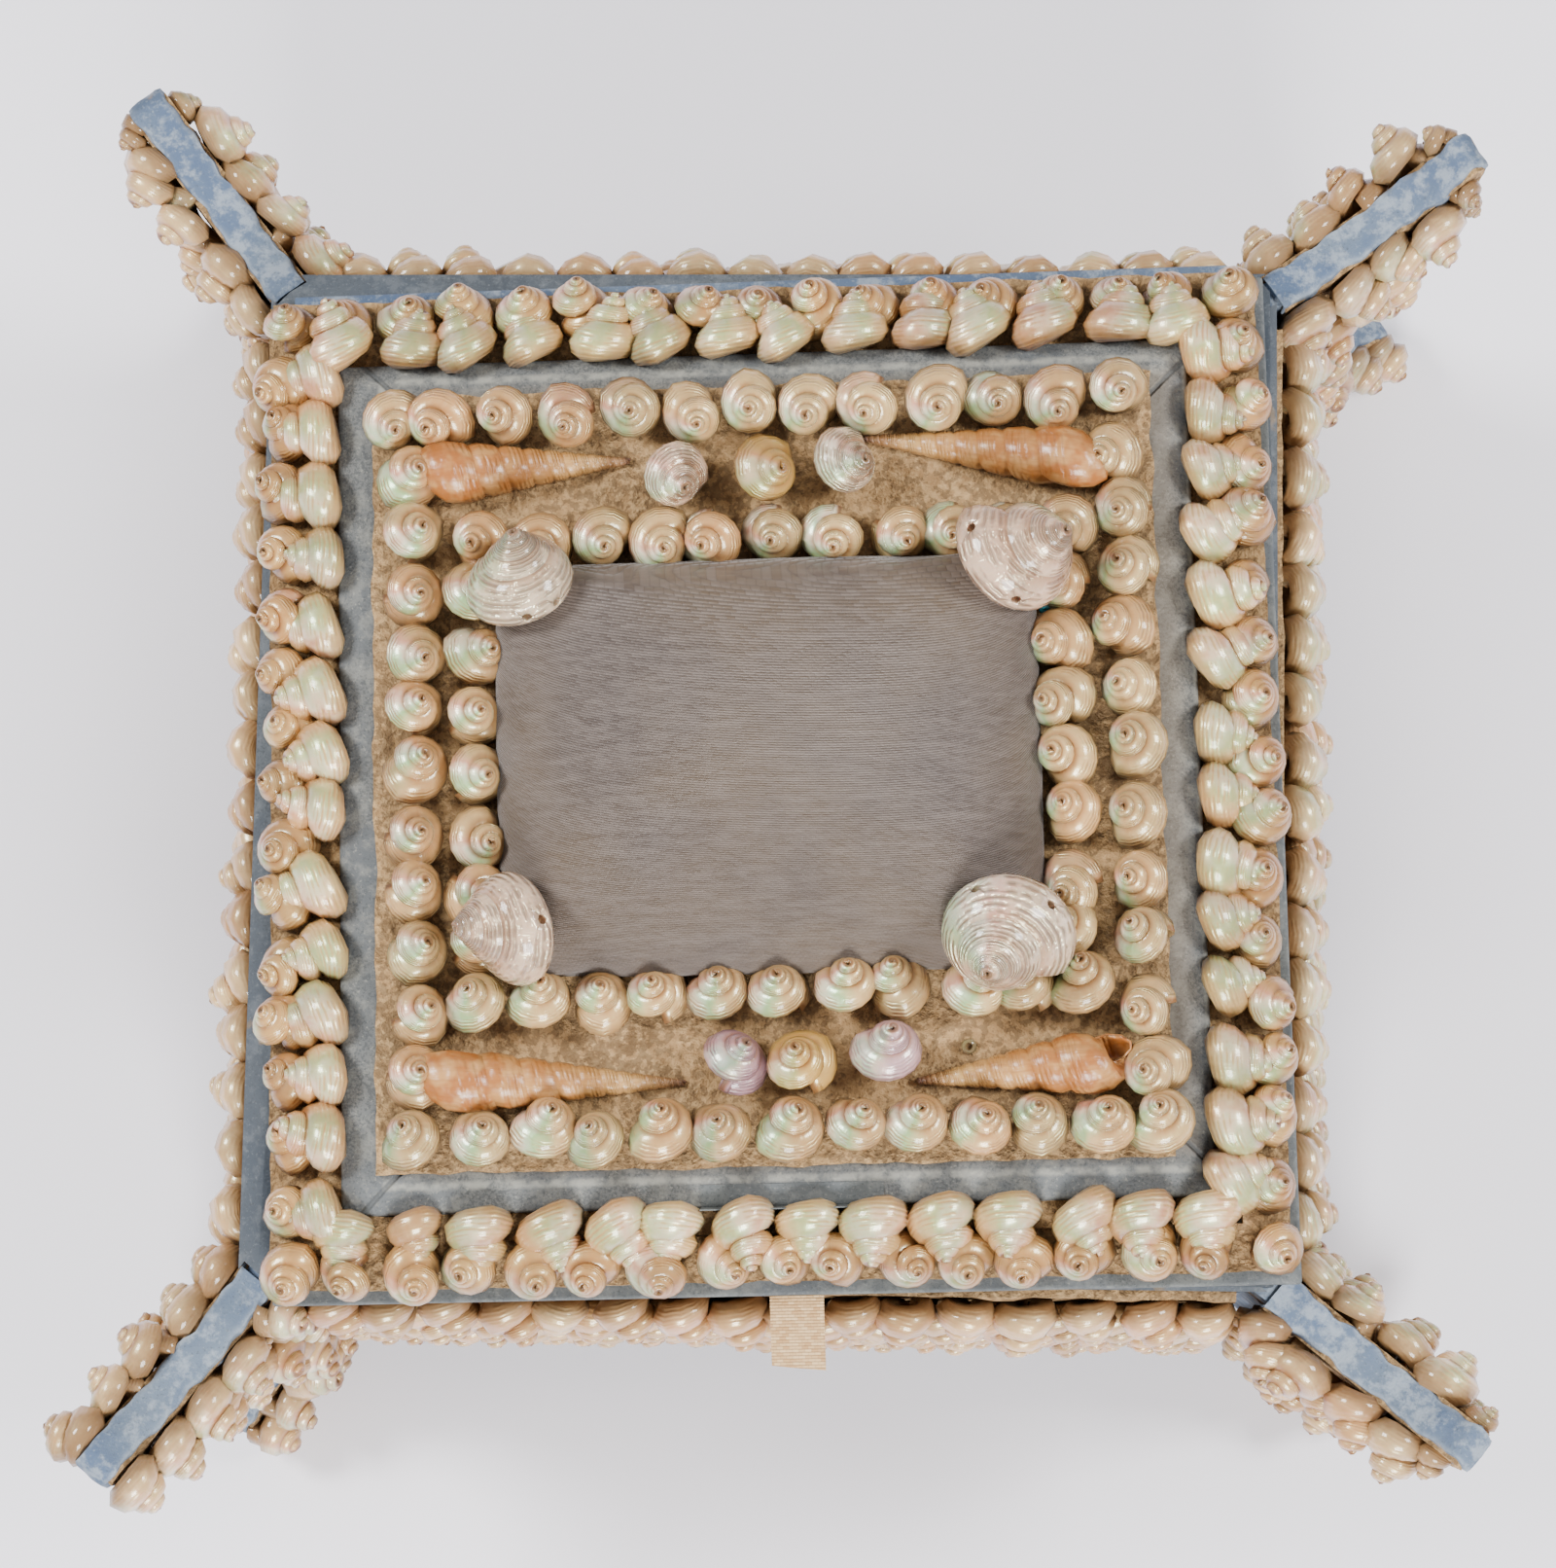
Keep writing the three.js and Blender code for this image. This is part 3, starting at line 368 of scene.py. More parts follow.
def paper(name, base, faded, dark, fluff, turn=0.0, ridge=0.0, amount=0.6, mottling=0.25, glued=0.0):
    """Coarse dyed paper, faded, foxed and worn light where it is folded. On the step, whose ridge is
    that far from the middle, the mitred corners show as cut lines."""
    material, tree, shader = new_material(name)
    place = object_place(tree, turn)
    dirt = use_group(tree, GRIME, Vector=place, Speck_Size=0.00025, Amount=amount)
    fibre = noise(tree, place, 1700.0, 2.0)
    colour = blend_colour(tree, dirt["Stain"], shade(base), shade(faded))
    shadow = fade(tree, noise(tree, place, 24.0, 5.0, 0.65), 0.5, 0.72, 0.0, 0.45)
    colour = blend_colour(tree, shadow, colour, shade(dark))
    colour = blend_colour(tree, calc(tree, "MULTIPLY", dirt["Specks"], 0.5), colour, shade("34383b"))
    colour = blend_colour(tree, fade(tree, fibre, 0.58, 0.78, 0.0, 0.4), colour, shade(fluff))
    cloudy = fade(tree, noise(tree, place, 240.0, 4.0, 0.7), 0.46, 0.64, 0.0, mottling)
    colour = blend_colour(tree, cloudy, colour, shade(fluff))
    glue = fade(tree, noise(tree, place, 75.0, 3.0, 0.6), 0.66, 0.7, 0.0, glued)
    colour = blend_colour(tree, glue, colour, shade("9c7a44"))
    wear = attribute(tree, "wear").outputs["Fac"]
    ripple = noise(tree, place, 130.0, 2.0)
    height = calc(tree, "ADD", calc(tree, "MULTIPLY", dirt["Fine"], 0.35), ripple)
    if ridge:
        x, y, _ = [calc(tree, "ABSOLUTE", part) for part in parts(tree, place)[:3]]
        off = calc(tree, "ABSOLUTE", calc(tree, "SUBTRACT", calc(tree, "MAXIMUM", x, y), ridge))
        wear = calc(tree, "MAXIMUM", wear, fade(tree, off, 0.0011, 0.0002))
        inside = calc(tree, "ADD", calc(tree, "MAXIMUM", x, y), calc(tree, "MULTIPLY", dirt["Fine"], 0.004))
        dusty = fade(tree, inside, ridge + 0.002, ridge - 0.003, 0.0, 0.3)
        colour = blend_colour(tree, dusty, colour, shade("8a7556"))
    patchy = fade(tree, noise(tree, place, 380.0, 3.0), 0.35, 0.6, 0.08, 0.6)
    colour = blend_colour(tree, calc(tree, "MULTIPLY", wear, patchy), colour, shade(fluff))
    if ridge:
        gap = calc(tree, "ABSOLUTE", calc(tree, "SUBTRACT", x, y))
        cut = fade(tree, gap, 0.0009, 0.0002)
        colour = blend_colour(tree, calc(tree, "MULTIPLY", cut, 0.7), colour, shade("3f4345"))
        height = calc(tree, "SUBTRACT", height, cut)
    finish_material(tree, shader, colour, fade(tree, dirt["Stain"], 0.0, 1.0, 0.72, 0.9), height, 0.0004)
    return material


def putty_material():
    """Dried putty: brown, gritty, with pale crumbs and dark pits."""
    material, tree, shader = new_material("putty")
    place = object_place(tree)
    dirt = use_group(tree, GRIME, Vector=place, Speck_Size=0.0007, Amount=1.0)
    crumbs = noise(tree, place, 650.0, 4.0, 0.65)
    colour = blend_colour(tree, fade(tree, crumbs, 0.35, 0.68), shade("98774e"), shade("c3a070"))
    broad = noise(tree, place, 60.0, 3.0)
    colour = blend_colour(tree, fade(tree, broad, 0.4, 0.65, 0.0, 0.5), colour, shade("aa8658"))
    colour = blend_colour(tree, calc(tree, "MULTIPLY", dirt["Specks"], 0.45), colour, shade("3c2c1e"))
    height = calc(tree, "ADD", crumbs, calc(tree, "MULTIPLY", noise(tree, place, 240.0, 3.0), 1.5))
    finish_material(tree, shader, colour, 0.92, height, 0.0009)
    return material


def satin_material():
    """Faded mauve satin: fine floats along the row with painted shade between them, a warmer worn middle,
    lighter streaks along the rows as painted sheen, and a soft sheen.
    """
    material, tree, shader = new_material("satin", Sheen_Weight=0.25, Sheen_Roughness=0.4, Anisotropic=0.4)
    place = object_place(tree, LID_SKEW)
    x, y, z = parts(tree, place)[:3]
    over = put(tree, "ShaderNodeCombineXYZ", X=calc(tree, "ADD", x, calc(tree, "MULTIPLY", y, 0.12)),
               Y=calc(tree, "ADD", calc(tree, "ADD", y, z), calc(tree, "MULTIPLY", x, 0.06)))
    cloth = use_group(tree, WEAVE, Vector=over.outputs[0], Thread=0.00042, Float_Length=0.0017, Step=0.38)
    rows = put(tree, "ShaderNodeMapping", Vector=place, Scale=(120, 900, 300)).outputs[0]
    sheen_streak = noise(tree, rows, 1.0, 2.0)
    warm = fade(tree, noise(tree, place, 28.0, 3.0), 0.35, 0.65)
    colour = blend_colour(tree, warm, shade("4e443f"), shade("5c4d3e"))
    colour = blend_colour(tree, calc(tree, "MULTIPLY", cloth["Thread Tone"], 0.35), colour, shade("776c65"))
    # Painted shade in the hollows between the floats
    colour = blend_colour(tree, fade(tree, cloth["Height"], 0.45, 0.0, 0.0, 0.5), colour, shade("443b35"))
    # Painted sheen: lighter streaks along the rows
    colour = blend_colour(tree, fade(tree, sheen_streak, 0.4, 0.7, 0.0, 0.25), colour, shade("7d7169"))
    finish_material(tree, shader, colour, fade(tree, cloth["Thread Tone"], 0.0, 1.0, 0.42, 0.58),
                    cloth["Height"], 0.00016)
    return material


def ribbon_material():
    """Tan woven ribbon, frayed pale at its threads, with painted shade between them."""
    material, tree, shader = new_material("ribbon", Sheen_Weight=0.2)
    place = object_place(tree, LID_SKEW)
    cloth = use_group(tree, WEAVE, Vector=place, Thread=0.00055, Float_Length=0.0011, Step=0.5)
    colour = blend_colour(tree, cloth["Thread Tone"], shade("b98f5c"), shade("d9b787"))
    # Painted shade in the hollows between the threads
    colour = blend_colour(tree, fade(tree, cloth["Height"], 0.5, 0.0, 0.0, 0.7), colour, shade("8a643c"))
    finish_material(tree, shader, colour, 0.8, cloth["Height"], 0.0002)
    return material


def bead_material():
    material, tree, shader = new_material("turquoise_glass", Coat_Weight=0.6)
    cloud = fade(tree, noise(tree, object_place(tree), 700.0), 0.4, 0.7)
    colour = blend_colour(tree, cloud, shade("3fb3c4"), shade("83cfd2"))
    finish_material(tree, shader, colour, 0.2, noise(tree, object_place(tree), 900.0), 0.00005)
    return material


# Painted shade: the dark brown inside a drilled hole
def hole_shade_material():
    material, tree, shader = new_material("hole_shade")
    colour = blend_colour(tree, noise(tree, object_place(tree), 900.0), shade("4d3517"), shade("8a6a3c"))
    finish_material(tree, shader, colour, 0.9, noise(tree, object_place(tree), 900.0), 0.0001)
    return material


RING_PEARL = pearl("pearl_shell", "c6a268", "c08548", "e6c898", "5f3a18", dirty=0.45, painted_lustre=0.62,
                   foot=0.0045, grooves=0.4)
FRAME_PEARL = pearl("frame_pearl", "c49e60", "c08044", "e4c490", "693f18", dirty=0.45, painted_lustre=0.42,
                    foot=0.004, grooves=0.14)
DIRTY_PEARL = pearl("dirty_pearl", "c49556", "b07438", "d6b078", "623a14", dirty=0.85, painted_lustre=0.5,
                    foot=0.0045, grooves=0.2)
WORN_PEARL = pearl("worn_shell", "d4ae7a", "c08a52", "e6c698", "6f4520", dirty=0.4, painted_lustre=0.4,
                   foot=0.005, grooves=0.06)
SILVER_PEARL = pearl("silver_shell", "cdb496", "d2a084", "ecd9c0", "65452a", dirty=0.65, painted_lustre=0.5,
                     cords=24.0, cord_top=0.2, grooves=0.5, rough=0.18, relief=0.0004)
GOLD_PEARL = pearl("gold_shell", "c49c50", "ac782c", "dcbc78", "5c3814", dirty=0.4, painted_lustre=0.35)
MAUVE_PEARL = pearl("mauve_shell", "bf9498", "a47282", "e0c4c6", "5c3e3a", dirty=0.4, painted_lustre=0.5,
                    grooves=0.45)
TOWER = tower_material()
GREY_PAPER = paper("faded_blue_paper", "4e5356", "5f625f", "3d4142", "8f918c", LID_SKEW)
PLATFORM_PAPER = paper("platform_paper", "54585a", "6a6b68", "44484a", "a09f94", LID_SKEW,
                       ridge=STEP_RIDGE, amount=0.8)
BLUE_PAPER = paper("blue_paper", "435671", "626f7d", "303e52", "8f98a0", amount=0.4, mottling=0.7,
                   glued=0.7)
RIM_PAPER = paper("rim_paper", "3c444d", "51565a", "2c3238", "7c8184", glued=0.3)
PUTTY = putty_material()
SATIN = satin_material()
RIBBON = ribbon_material()
BEAD = bead_material()
HOLE_SHADE = hole_shade_material()


# Modelling helpers


def deselect():
    bpy.ops.object.select_all(action="DESELECT")


def activate(piece):
    deselect()
    piece.select_set(True)
    bpy.context.view_layer.objects.active = piece


def leave_edit(piece, name):
    bpy.ops.object.mode_set(mode="OBJECT")
    piece.name = name
    piece.data.name = name
    return piece


def settle(piece):
    """Puts a finished piece's place into its mesh."""
    activate(piece)
    bpy.ops.object.transform_apply(location=True, rotation=True, scale=True)


def apply_modifiers(piece):
    activate(piece)
    for modifier in list(piece.modifiers):
        bpy.ops.object.modifier_apply(modifier=modifier.name)


def smooth(piece, angle=40):
    activate(piece)
    bpy.ops.object.shade_smooth_by_angle(angle=math.radians(angle))


def give(piece, *materials):
    piece.data.materials.clear()
    for material in materials:
        piece.data.materials.append(material)


def add_value(mesh, name, kind, values):
    old = mesh.attributes.get(name)
    if old:
        mesh.attributes.remove(old)
    layer = mesh.attributes.new(name, kind, "POINT")
    flat = np.asarray(values, np.float32).ravel()
    layer.data.foreach_set("value" if kind == "FLOAT" else "vector", flat)


def points_of(mesh):
    flat = np.empty(len(mesh.vertices) * 3, np.float32)
    mesh.vertices.foreach_get("co", flat)
    return flat.reshape(-1, 3)


def join(pieces, name, body, *replaced, slot=None):
    """Makes one piece of several, riding on a body in place of CAD nodes."""
    activate(pieces[0])
    for piece in pieces:
        piece.select_set(True)
    if len(pieces) > 1:
        bpy.ops.object.join()
    piece = bpy.context.view_layer.objects.active
    piece.name = name
    piece.data.name = name
    return done(piece, body, *replaced, slot=slot)


def done(piece, body, *replaced, slot=None):
    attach(piece, body)
    if replaced:
        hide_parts(*replaced)
    return piece


# Coiled shells: a ring is extruded, turned and enlarged about the apex, step by step.

# The plan direction towards which every shell's painted sheen is turned
PAINTED_SHEEN_WAY = math.radians(205)
KEEL_AT = math.radians(-20)
CLOSING_STEP = 0.9
LIP = 0.06
MOUTH_STEP = 0.97
TOP_SHELL = {"out": 0.5, "drop": 1.22, "wide": 0.44, "tall": 0.52, "slant": 0.45, "keel": 0.1,
             "growth": 1.82}


def coil(name, out, drop, wide, tall, slant, keel, growth, whorls, sides, steps, hollow, closing=5):
    """A shell with its base on the plane z = 0, its apex up, and an outline of radius 1 in plan.
    out and drop place the ring from the apex, and wide, tall, slant and keel shape it. The last
    steps draw in towards the base, where the lip rests."""
    origin = (0, 0, 0)
    deselect()
    bpy.ops.mesh.primitive_circle_add(vertices=sides, radius=1, fill_type="NGON", enter_editmode=True)
    shell = bpy.context.object
    bpy.ops.transform.rotate(value=math.pi / sides, orient_axis="Z", center_override=origin)
    bpy.ops.transform.resize(value=(wide, tall, 1), center_override=origin)
    bpy.ops.transform.rotate(value=-slant, orient_axis="Z", center_override=origin)
    ring = bmesh.from_edit_mesh(shell.data)
    for vertex in ring.verts:
        off_keel = math.atan2(vertex.co.y, vertex.co.x) - KEEL_AT
        vertex.co *= 1 + keel * max(0, math.cos(off_keel)) ** 6
    bpy.ops.transform.rotate(value=-math.pi / 2, orient_axis="X", center_override=origin)
    bpy.ops.transform.translate(value=(out, 0, -drop))
    start = growth ** -whorls
    bpy.ops.transform.resize(value=(start,) * 3, center_override=origin)
    step = growth ** (1 / steps)
    count = round(whorls * steps)
    base = (0, 0, -drop - tall * 0.9)
    for number in range(count + closing):
        scale, centre = (step, origin) if number < count else (CLOSING_STEP, base)
        bpy.ops.mesh.extrude_region_move()
        bpy.ops.transform.rotate(value=TURN / steps, orient_axis="Z", center_override=origin)
        bpy.ops.transform.resize(value=(scale,) * 3, center_override=centre)
    if hollow:
        bpy.ops.mesh.inset(thickness=LIP)
        for _ in range(hollow):
            bpy.ops.mesh.extrude_region_move()
            bpy.ops.transform.rotate(value=-TURN / steps, orient_axis="Z", center_override=origin)
            bpy.ops.transform.resize(value=(MOUTH_STEP,) * 3, center_override=base)
    bpy.ops.mesh.select_all(action="SELECT")
    bpy.ops.mesh.normals_make_consistent(inside=False)
    leave_edit(shell, name)
    bpy.ops.object.shade_smooth()
    points = points_of(shell.data)
    first = points[:sides] / start
    reach = np.hypot(first[:, 0], first[:, 1]) - out
    across = np.tile(np.arctan2(first[:, 2] + drop, reach) / TURN, len(points) // sides)
    along = np.minimum(np.arange(len(points)) // sides, count)
    add_value(shell.data, "growth", "FLOAT_VECTOR", np.stack([along / steps, across, along / count], 1))
    low, high = points.min(0), points.max(0)
    radius = (high - low)[:2].max() / 2
    middle = (low + high) / 2
    seat = Matrix.Translation((-middle[0], -middle[1], -low[2]))
    shell.data.transform(Matrix.Scale(1 / radius, 4) @ seat)
    shell["height"] = float((high - low)[2] / radius)
    shell["mouth"] = -TURN * ((count + closing) / steps + 1 / 8)
    unlink(shell)
    return shell


def unlink(piece):
    """Puts a modelled pattern aside: only its copies are shown."""
    for collection in list(piece.users_collection):
        collection.objects.unlink(piece)


def copy_of(pattern, matrix, bed, tone, material):
    """A copy with its own mesh, placed by matrix. It carries its tone and its height above the bed."""
    piece = pattern.copy()
    piece.data = pattern.data.copy()
    piece.data.transform(matrix)
    bpy.context.scene.collection.objects.link(piece)
    points = points_of(piece.data)
    away = np.array(bed.inverted_safe())[2]
    add_value(piece.data, "lift", "FLOAT", points @ away[:3] + away[3])
    add_value(piece.data, "tone", "FLOAT_VECTOR", np.tile(tone, (len(points), 1)))
    give(piece, material)
    return piece


def mottle(dice, gleam):
    """A shell's lightness, its warmth and the turn about its axis where its painted sheen lies."""
    return [dice.random(), dice.random() ** 1.5, (gleam / TURN + dice.uniform(-0.08, 0.08)) % 1]


def stand(pattern, bed, at, radius, material, dice, lean, towards, spin=None, sink=0.0):
    """Stands a shell on its mouth on a bed, whose +Z is up, leaning towards a plan angle."""
    spin = dice.uniform(0, TURN) if spin is None else spin
    tipped = Matrix.Rotation(towards, 4, "Z") @ Matrix.Rotation(lean, 4, "Y")
    turn = tipped @ Matrix.Rotation(spin - towards, 4, "Z")
    lift = radius * math.sin(abs(lean)) * 0.55 - sink
    matrix = bed @ Matrix.Translation((at[0], at[1], lift)) @ turn @ Matrix.Scale(radius, 4)
    # Each shell's painted sheen is turned towards the same plan direction
    bed_turn = math.atan2(bed[1][0], bed[0][0])
    tone = mottle(dice, spin + bed_turn - PAINTED_SHEEN_WAY)
    return copy_of(pattern, matrix, bed, tone, material)


def top_shells(count, whorls, sides, steps, hollow, dice):
    """Patterns of one kind of top shell, each a little different."""
    made = []
    for number in range(count):
        shape = dict(TOP_SHELL)
        shape["growth"] *= dice.uniform(0.95, 1.05)
        shape["drop"] *= dice.uniform(0.88, 1.1)
        shape["wide"] *= dice.uniform(0.97, 1.05)
        shape["keel"] *= dice.uniform(0.3, 1.8)
        shape.update(whorls=whorls, sides=sides, steps=steps, hollow=hollow)
        made.append(coil(f"top_shell_{steps}_{number}", **shape))
    return made


FINE_SHELLS = top_shells(6, 3.1, 10, 16, 2, random.Random(4))
PLAIN_SHELLS = top_shells(8, 2.6, 7, 12, 0, random.Random(5))
LARGE_PATTERN = coil("large_shell", out=0.5, drop=1.18, wide=0.44, tall=0.52, slant=0.5, keel=0.14,
                     growth=1.55, whorls=4.8, sides=18, steps=30, hollow=4, closing=6)
TOWER_PATTERN = coil("tower_shell", out=0.44, drop=7.0, wide=0.56, tall=1.14, slant=0.0, keel=0.0,
                     growth=1.2, whorls=13, sides=10, steps=14, hollow=4, closing=3)


# Putty beds: a plate of squares, pushed about by noise.


LUMPS = bpy.data.textures.new("lumps", "CLOUDS")
LUMPS.noise_scale = 6 * MM
LUMPS.noise_depth = 2


def plate(name, low, high, matrix, cell, lumps=0.8 * MM):
    """A closed putty plate from low to high in a frame, cut into cells of about that size and lumpy."""
    size = Vector(high) - Vector(low)
    middle = (Vector(high) + Vector(low)) / 2
    deselect()
    bpy.ops.mesh.primitive_cube_add(size=1, location=middle)
    piece = bpy.context.object
    piece.scale = size
    bpy.ops.object.transform_apply(location=True, rotation=True, scale=True)
    grid = bmesh.new()
    grid.from_mesh(piece.data)
    for axis in range(3):
        count = int(size[axis] / cell)
        for k in range(1, count):
            point = Vector(low)
            point[axis] += size[axis] * k / count
            normal = Vector((0, 0, 0))
            normal[axis] = 1
            bmesh.ops.bisect_plane(grid, geom=grid.verts[:] + grid.edges[:] + grid.faces[:], plane_co=point,
                                   plane_no=normal)
    grid.to_mesh(piece.data)
    grid.free()
    piece.data.transform(matrix)
    rough = piece.modifiers.new("rough", "DISPLACE")
    rough.texture = LUMPS
    rough.texture_coords = "LOCAL"
    rough.strength = lumps * 2
    rough.mid_level = 0.5
    apply_modifiers(piece)
    give(piece, PUTTY)
    piece.name = name
    smooth(piece, 50)
    return piece


# Rows of shells on the lid, each from its first to its last shell in the lid's plan, in millimetres.
OUTER_ROWS = {
    "back": ((-65.4, 65.4), (63.0, 66.2), 13), "front": ((-61.7, -64.6), (66.9, -64.6), 13),
    "left": ((-62.8, 53.6), (-62.8, -52.7), 11), "right": ((64.3, 55.0), (67.3, -53.4), 11),
}
INNER_ROWS = {
    "back": ((-48.9, 42.5), (54.1, 42.5), 11), "front": ((-50.5, -41.2), (54.5, -41.2), 11),
    "left": ((-52.0, 32.0), (-52.0, -31.5), 7), "right": ((54.0, 32.0), (54.0, -31.0), 7),
}
RING_SIZE = 5.6 * MM
RING_LEAN = math.radians(27)
RING_SINK = 1.3 * MM
# The share of a large shell's radius within which no ring shell stands
COVERED = 0.72
# The four large shells: middle in plan, radius, the way the apex points in plan, and its tilt from upright.
LARGE_SHELLS = {
    "back_left": ((-41.9, 31.8), 9.9, 98, 40), "back_right": ((44.0, 34.2), 10.8, 14, 44),
    "front_left": ((-42.8, -28.6), 10.4, 188, 55), "front_right": ((41.6, -30.8), 11.6, 251, 40),
}


def under_large_shell(x, y):
    return any(math.hypot(x - at[0], y - at[1]) < radius * COVERED
               for at, radius, _, _ in LARGE_SHELLS.values())


def spaced(first, last, count):
    """Points in a row, with the way across it that points from the lid's middle."""
    run = Vector(last) - Vector(first)
    outward = Vector((0, 1)) if abs(run.x) > abs(run.y) else Vector((1, 0))
    outward *= 1 if outward.dot(Vector(first)) > 0 else -1
    for k in range(count):
        yield Vector(first) + run * k / (count - 1), outward


def ring_rows():
    bed = lid_bed(PUTTY_TOP + 0.6 * MM)
    dice = random.Random(11)
    for ring, rows in (("outer_ring_shells", OUTER_ROWS), ("inner_ring_shells", INNER_ROWS)):
        for side, (first, last, count) in rows.items():
            made = []
            for spot, outward in spaced(first, last, count):
                if under_large_shell(*spot):
                    continue
                at = (spot + Vector((dice.uniform(-0.5, 0.5), dice.uniform(-0.7, 0.7)))) * MM
                inward = math.atan2(-outward.y, -outward.x) + dice.uniform(-0.6, 0.6)
                pattern = dice.choice(FINE_SHELLS)
                radius = RING_SIZE * dice.uniform(0.94, 1.05)
                lean = RING_LEAN * dice.uniform(0.75, 1.2)
                made.append(stand(pattern, bed, at, radius, RING_PEARL, dice, lean, inward, sink=RING_SINK))
            join(made, f"{side}_{ring}", "lid", f"{ring}_{side}", slot="pearl_shell")


# The frame round the lid's edge: counts, pitches and distances from the lid's middle. The back's
# standing row keeps clear of the rim when the lid is open.
STANDING_COUNT, STANDING_PITCH, STANDING_RADIUS = 17, 10.6 * MM, 5.2 * MM
STANDING_OUT, STANDING_OUT_BACK, STANDING_SINK = 83.5 * MM, 82.3 * MM, 1.7 * MM
LYING_COUNT, LYING_PITCH, LYING_RADIUS = 14, 11.45 * MM, 6.3 * MM
LYING_OUT, LYING_HEIGHT = 74.8 * MM, 4.8 * MM
WORN_LYING_NUMBER, WORN_LYING_RADIUS, WORN_TONE = 12, 5.2 * MM, [0.0, 1.0, 0.3]
STANDING_PUTTY = ((-88 * MM, 80.2 * MM, 0), (88 * MM, 88.6 * MM, 1.3 * MM))
LYING_PUTTY = ((-79 * MM, 75.6 * MM, 0), (79 * MM, 80.4 * MM, 2.6 * MM))
FRAME_CELL = 2.2 * MM


def frame_rows():
    """Round the lid's edge: an outer row that stands and an inner row that lies with its tips over it."""
    dice = random.Random(12)
    for side, angle in SIDES.items():
        turn = math.radians(angle) - math.pi / 2
        bed = lid_bed(LEDGE) @ Matrix.Rotation(turn, 4, "Z")
        across = side in ("front", "back")
        out = STANDING_OUT_BACK if side == "back" else STANDING_OUT
        count = STANDING_COUNT - (0 if across else 2)
        made = [plate("bed", *STANDING_PUTTY, bed, FRAME_CELL)]
        for k in range(count):
            x = (k - (count - 1) / 2) * STANDING_PITCH
            at = (x + dice.uniform(-0.4, 0.4) * MM, out + dice.uniform(-0.4, 0.5) * MM)
            pattern = dice.choice(FINE_SHELLS)
            radius = STANDING_RADIUS * dice.uniform(0.93, 1.08)
            lean = math.radians(dice.uniform(20, 42))
            towards = math.pi / 2 + dice.uniform(-0.7, 0.7)
            made.append(stand(pattern, bed @ Matrix.Translation((0, 0, MM)), at, radius, DIRTY_PEARL, dice,
                              lean, towards, sink=STANDING_SINK))
        join(made, f"{side}_standing_shells", "lid", f"lid_standing_shells_{side}", slot="pearl_shell")
        made = [plate("bed", *LYING_PUTTY, bed, FRAME_CELL)]
        for k in range(LYING_COUNT):
            worn = side == "front" and k == WORN_LYING_NUMBER
            pattern = dice.choice(FINE_SHELLS)
            x = (k - (LYING_COUNT - 1) / 2) * LYING_PITCH
            tip = math.radians(dice.uniform(68, 84))
            radius = (WORN_LYING_RADIUS if worn else LYING_RADIUS) * dice.uniform(0.94, 1.06)
            x += dice.uniform(-0.4, 0.4) * MM
            at = Vector((x, LYING_OUT, LYING_HEIGHT + dice.uniform(0, 0.5) * MM))
            towards = math.pi / 2 + dice.uniform(-0.35, 0.35)
            spin = dice.uniform(-0.4, 0.4) - pattern["mouth"]
            turned = (Matrix.Rotation(towards, 4, "Z") @ Matrix.Rotation(tip, 4, "Y")
                      @ Matrix.Rotation(spin, 4, "Z"))
            place = bed @ Matrix.Translation(at) @ turned @ Matrix.Scale(radius, 4)
            tone = WORN_TONE if worn else mottle(dice, spin - math.pi)
            made.append(copy_of(pattern, place, bed, tone, WORN_PEARL if worn else FRAME_PEARL))
        join(made, f"{side}_lying_shells", "lid", f"lid_lying_shells_{side}", slot="pearl_shell")


# Single shells on the lid: towers from wide end to tip, in the lid's plan
TOWERS = {
    "back_left": ((-60.5, 53.4), (-22.5, 56.0)), "back_right": ((61.3, 51.8), (17.5, 58.6)),
    "front_left": ((-61.8, -53.2), (-14.6, -54.3)), "front_right": ((62.0, -52.3), (24.5, -55.3)),
}
TOWER_RADIUS = 5.8 * MM
OPEN_MOUTH_TURN = 1.25 * math.pi
CENTRE_RADIUS, CENTRE_SINK = 6.1 * MM, 0.4 * MM
# The six shells between the towers: place, finish, the way they lean in plan and how far, in degrees
CENTRE_SHELLS = {
    "back_left": ((-16.6, 54.4), SILVER_PEARL, -50, 42), "back_middle": ((-0.9, 53.1), GOLD_PEARL, -10, 30),
    "back_right": ((12.0, 53.9), SILVER_PEARL, -5, 38), "front_left": ((-7.9, -53.0), MAUVE_PEARL, 45, 40),
    "front_middle": ((5.6, -53.3), GOLD_PEARL, 100, 22), "front_right": ((19.4, -52.6), MAUVE_PEARL, 80, 32),
}


def tower_shells():
    bed = lid_bed(PUTTY_TOP)
    for name, (wide, tip) in TOWERS.items():
        foot = Vector((*wide, 0)) * MM
        run = Vector((*tip, 0)) * MM - foot
        length = run.length
        dip = math.asin(TOWER_RADIUS * 0.8 / length)
        aim = Matrix.Rotation(math.atan2(run.y, run.x), 4, "Z") @ Matrix.Rotation(math.pi / 2 + dip, 4, "Y")
        squeeze = Matrix.Diagonal((TOWER_RADIUS, TOWER_RADIUS, length / TOWER_PATTERN["height"], 1))
        mouth_up = OPEN_MOUTH_TURN if name == "front_right" else 0
        spin = Matrix.Rotation(mouth_up - TOWER_PATTERN["mouth"], 4, "Z")
        place = bed @ Matrix.Translation(foot + Vector((0, 0, TOWER_RADIUS * 0.92))) @ aim @ squeeze @ spin
        piece = copy_of(TOWER_PATTERN, place, bed, [0.5, 0.5, 0.5], TOWER)
        join([piece], f"{name}_tower_shell", "lid", f"tower_shell_{name}", slot="tower_shell")


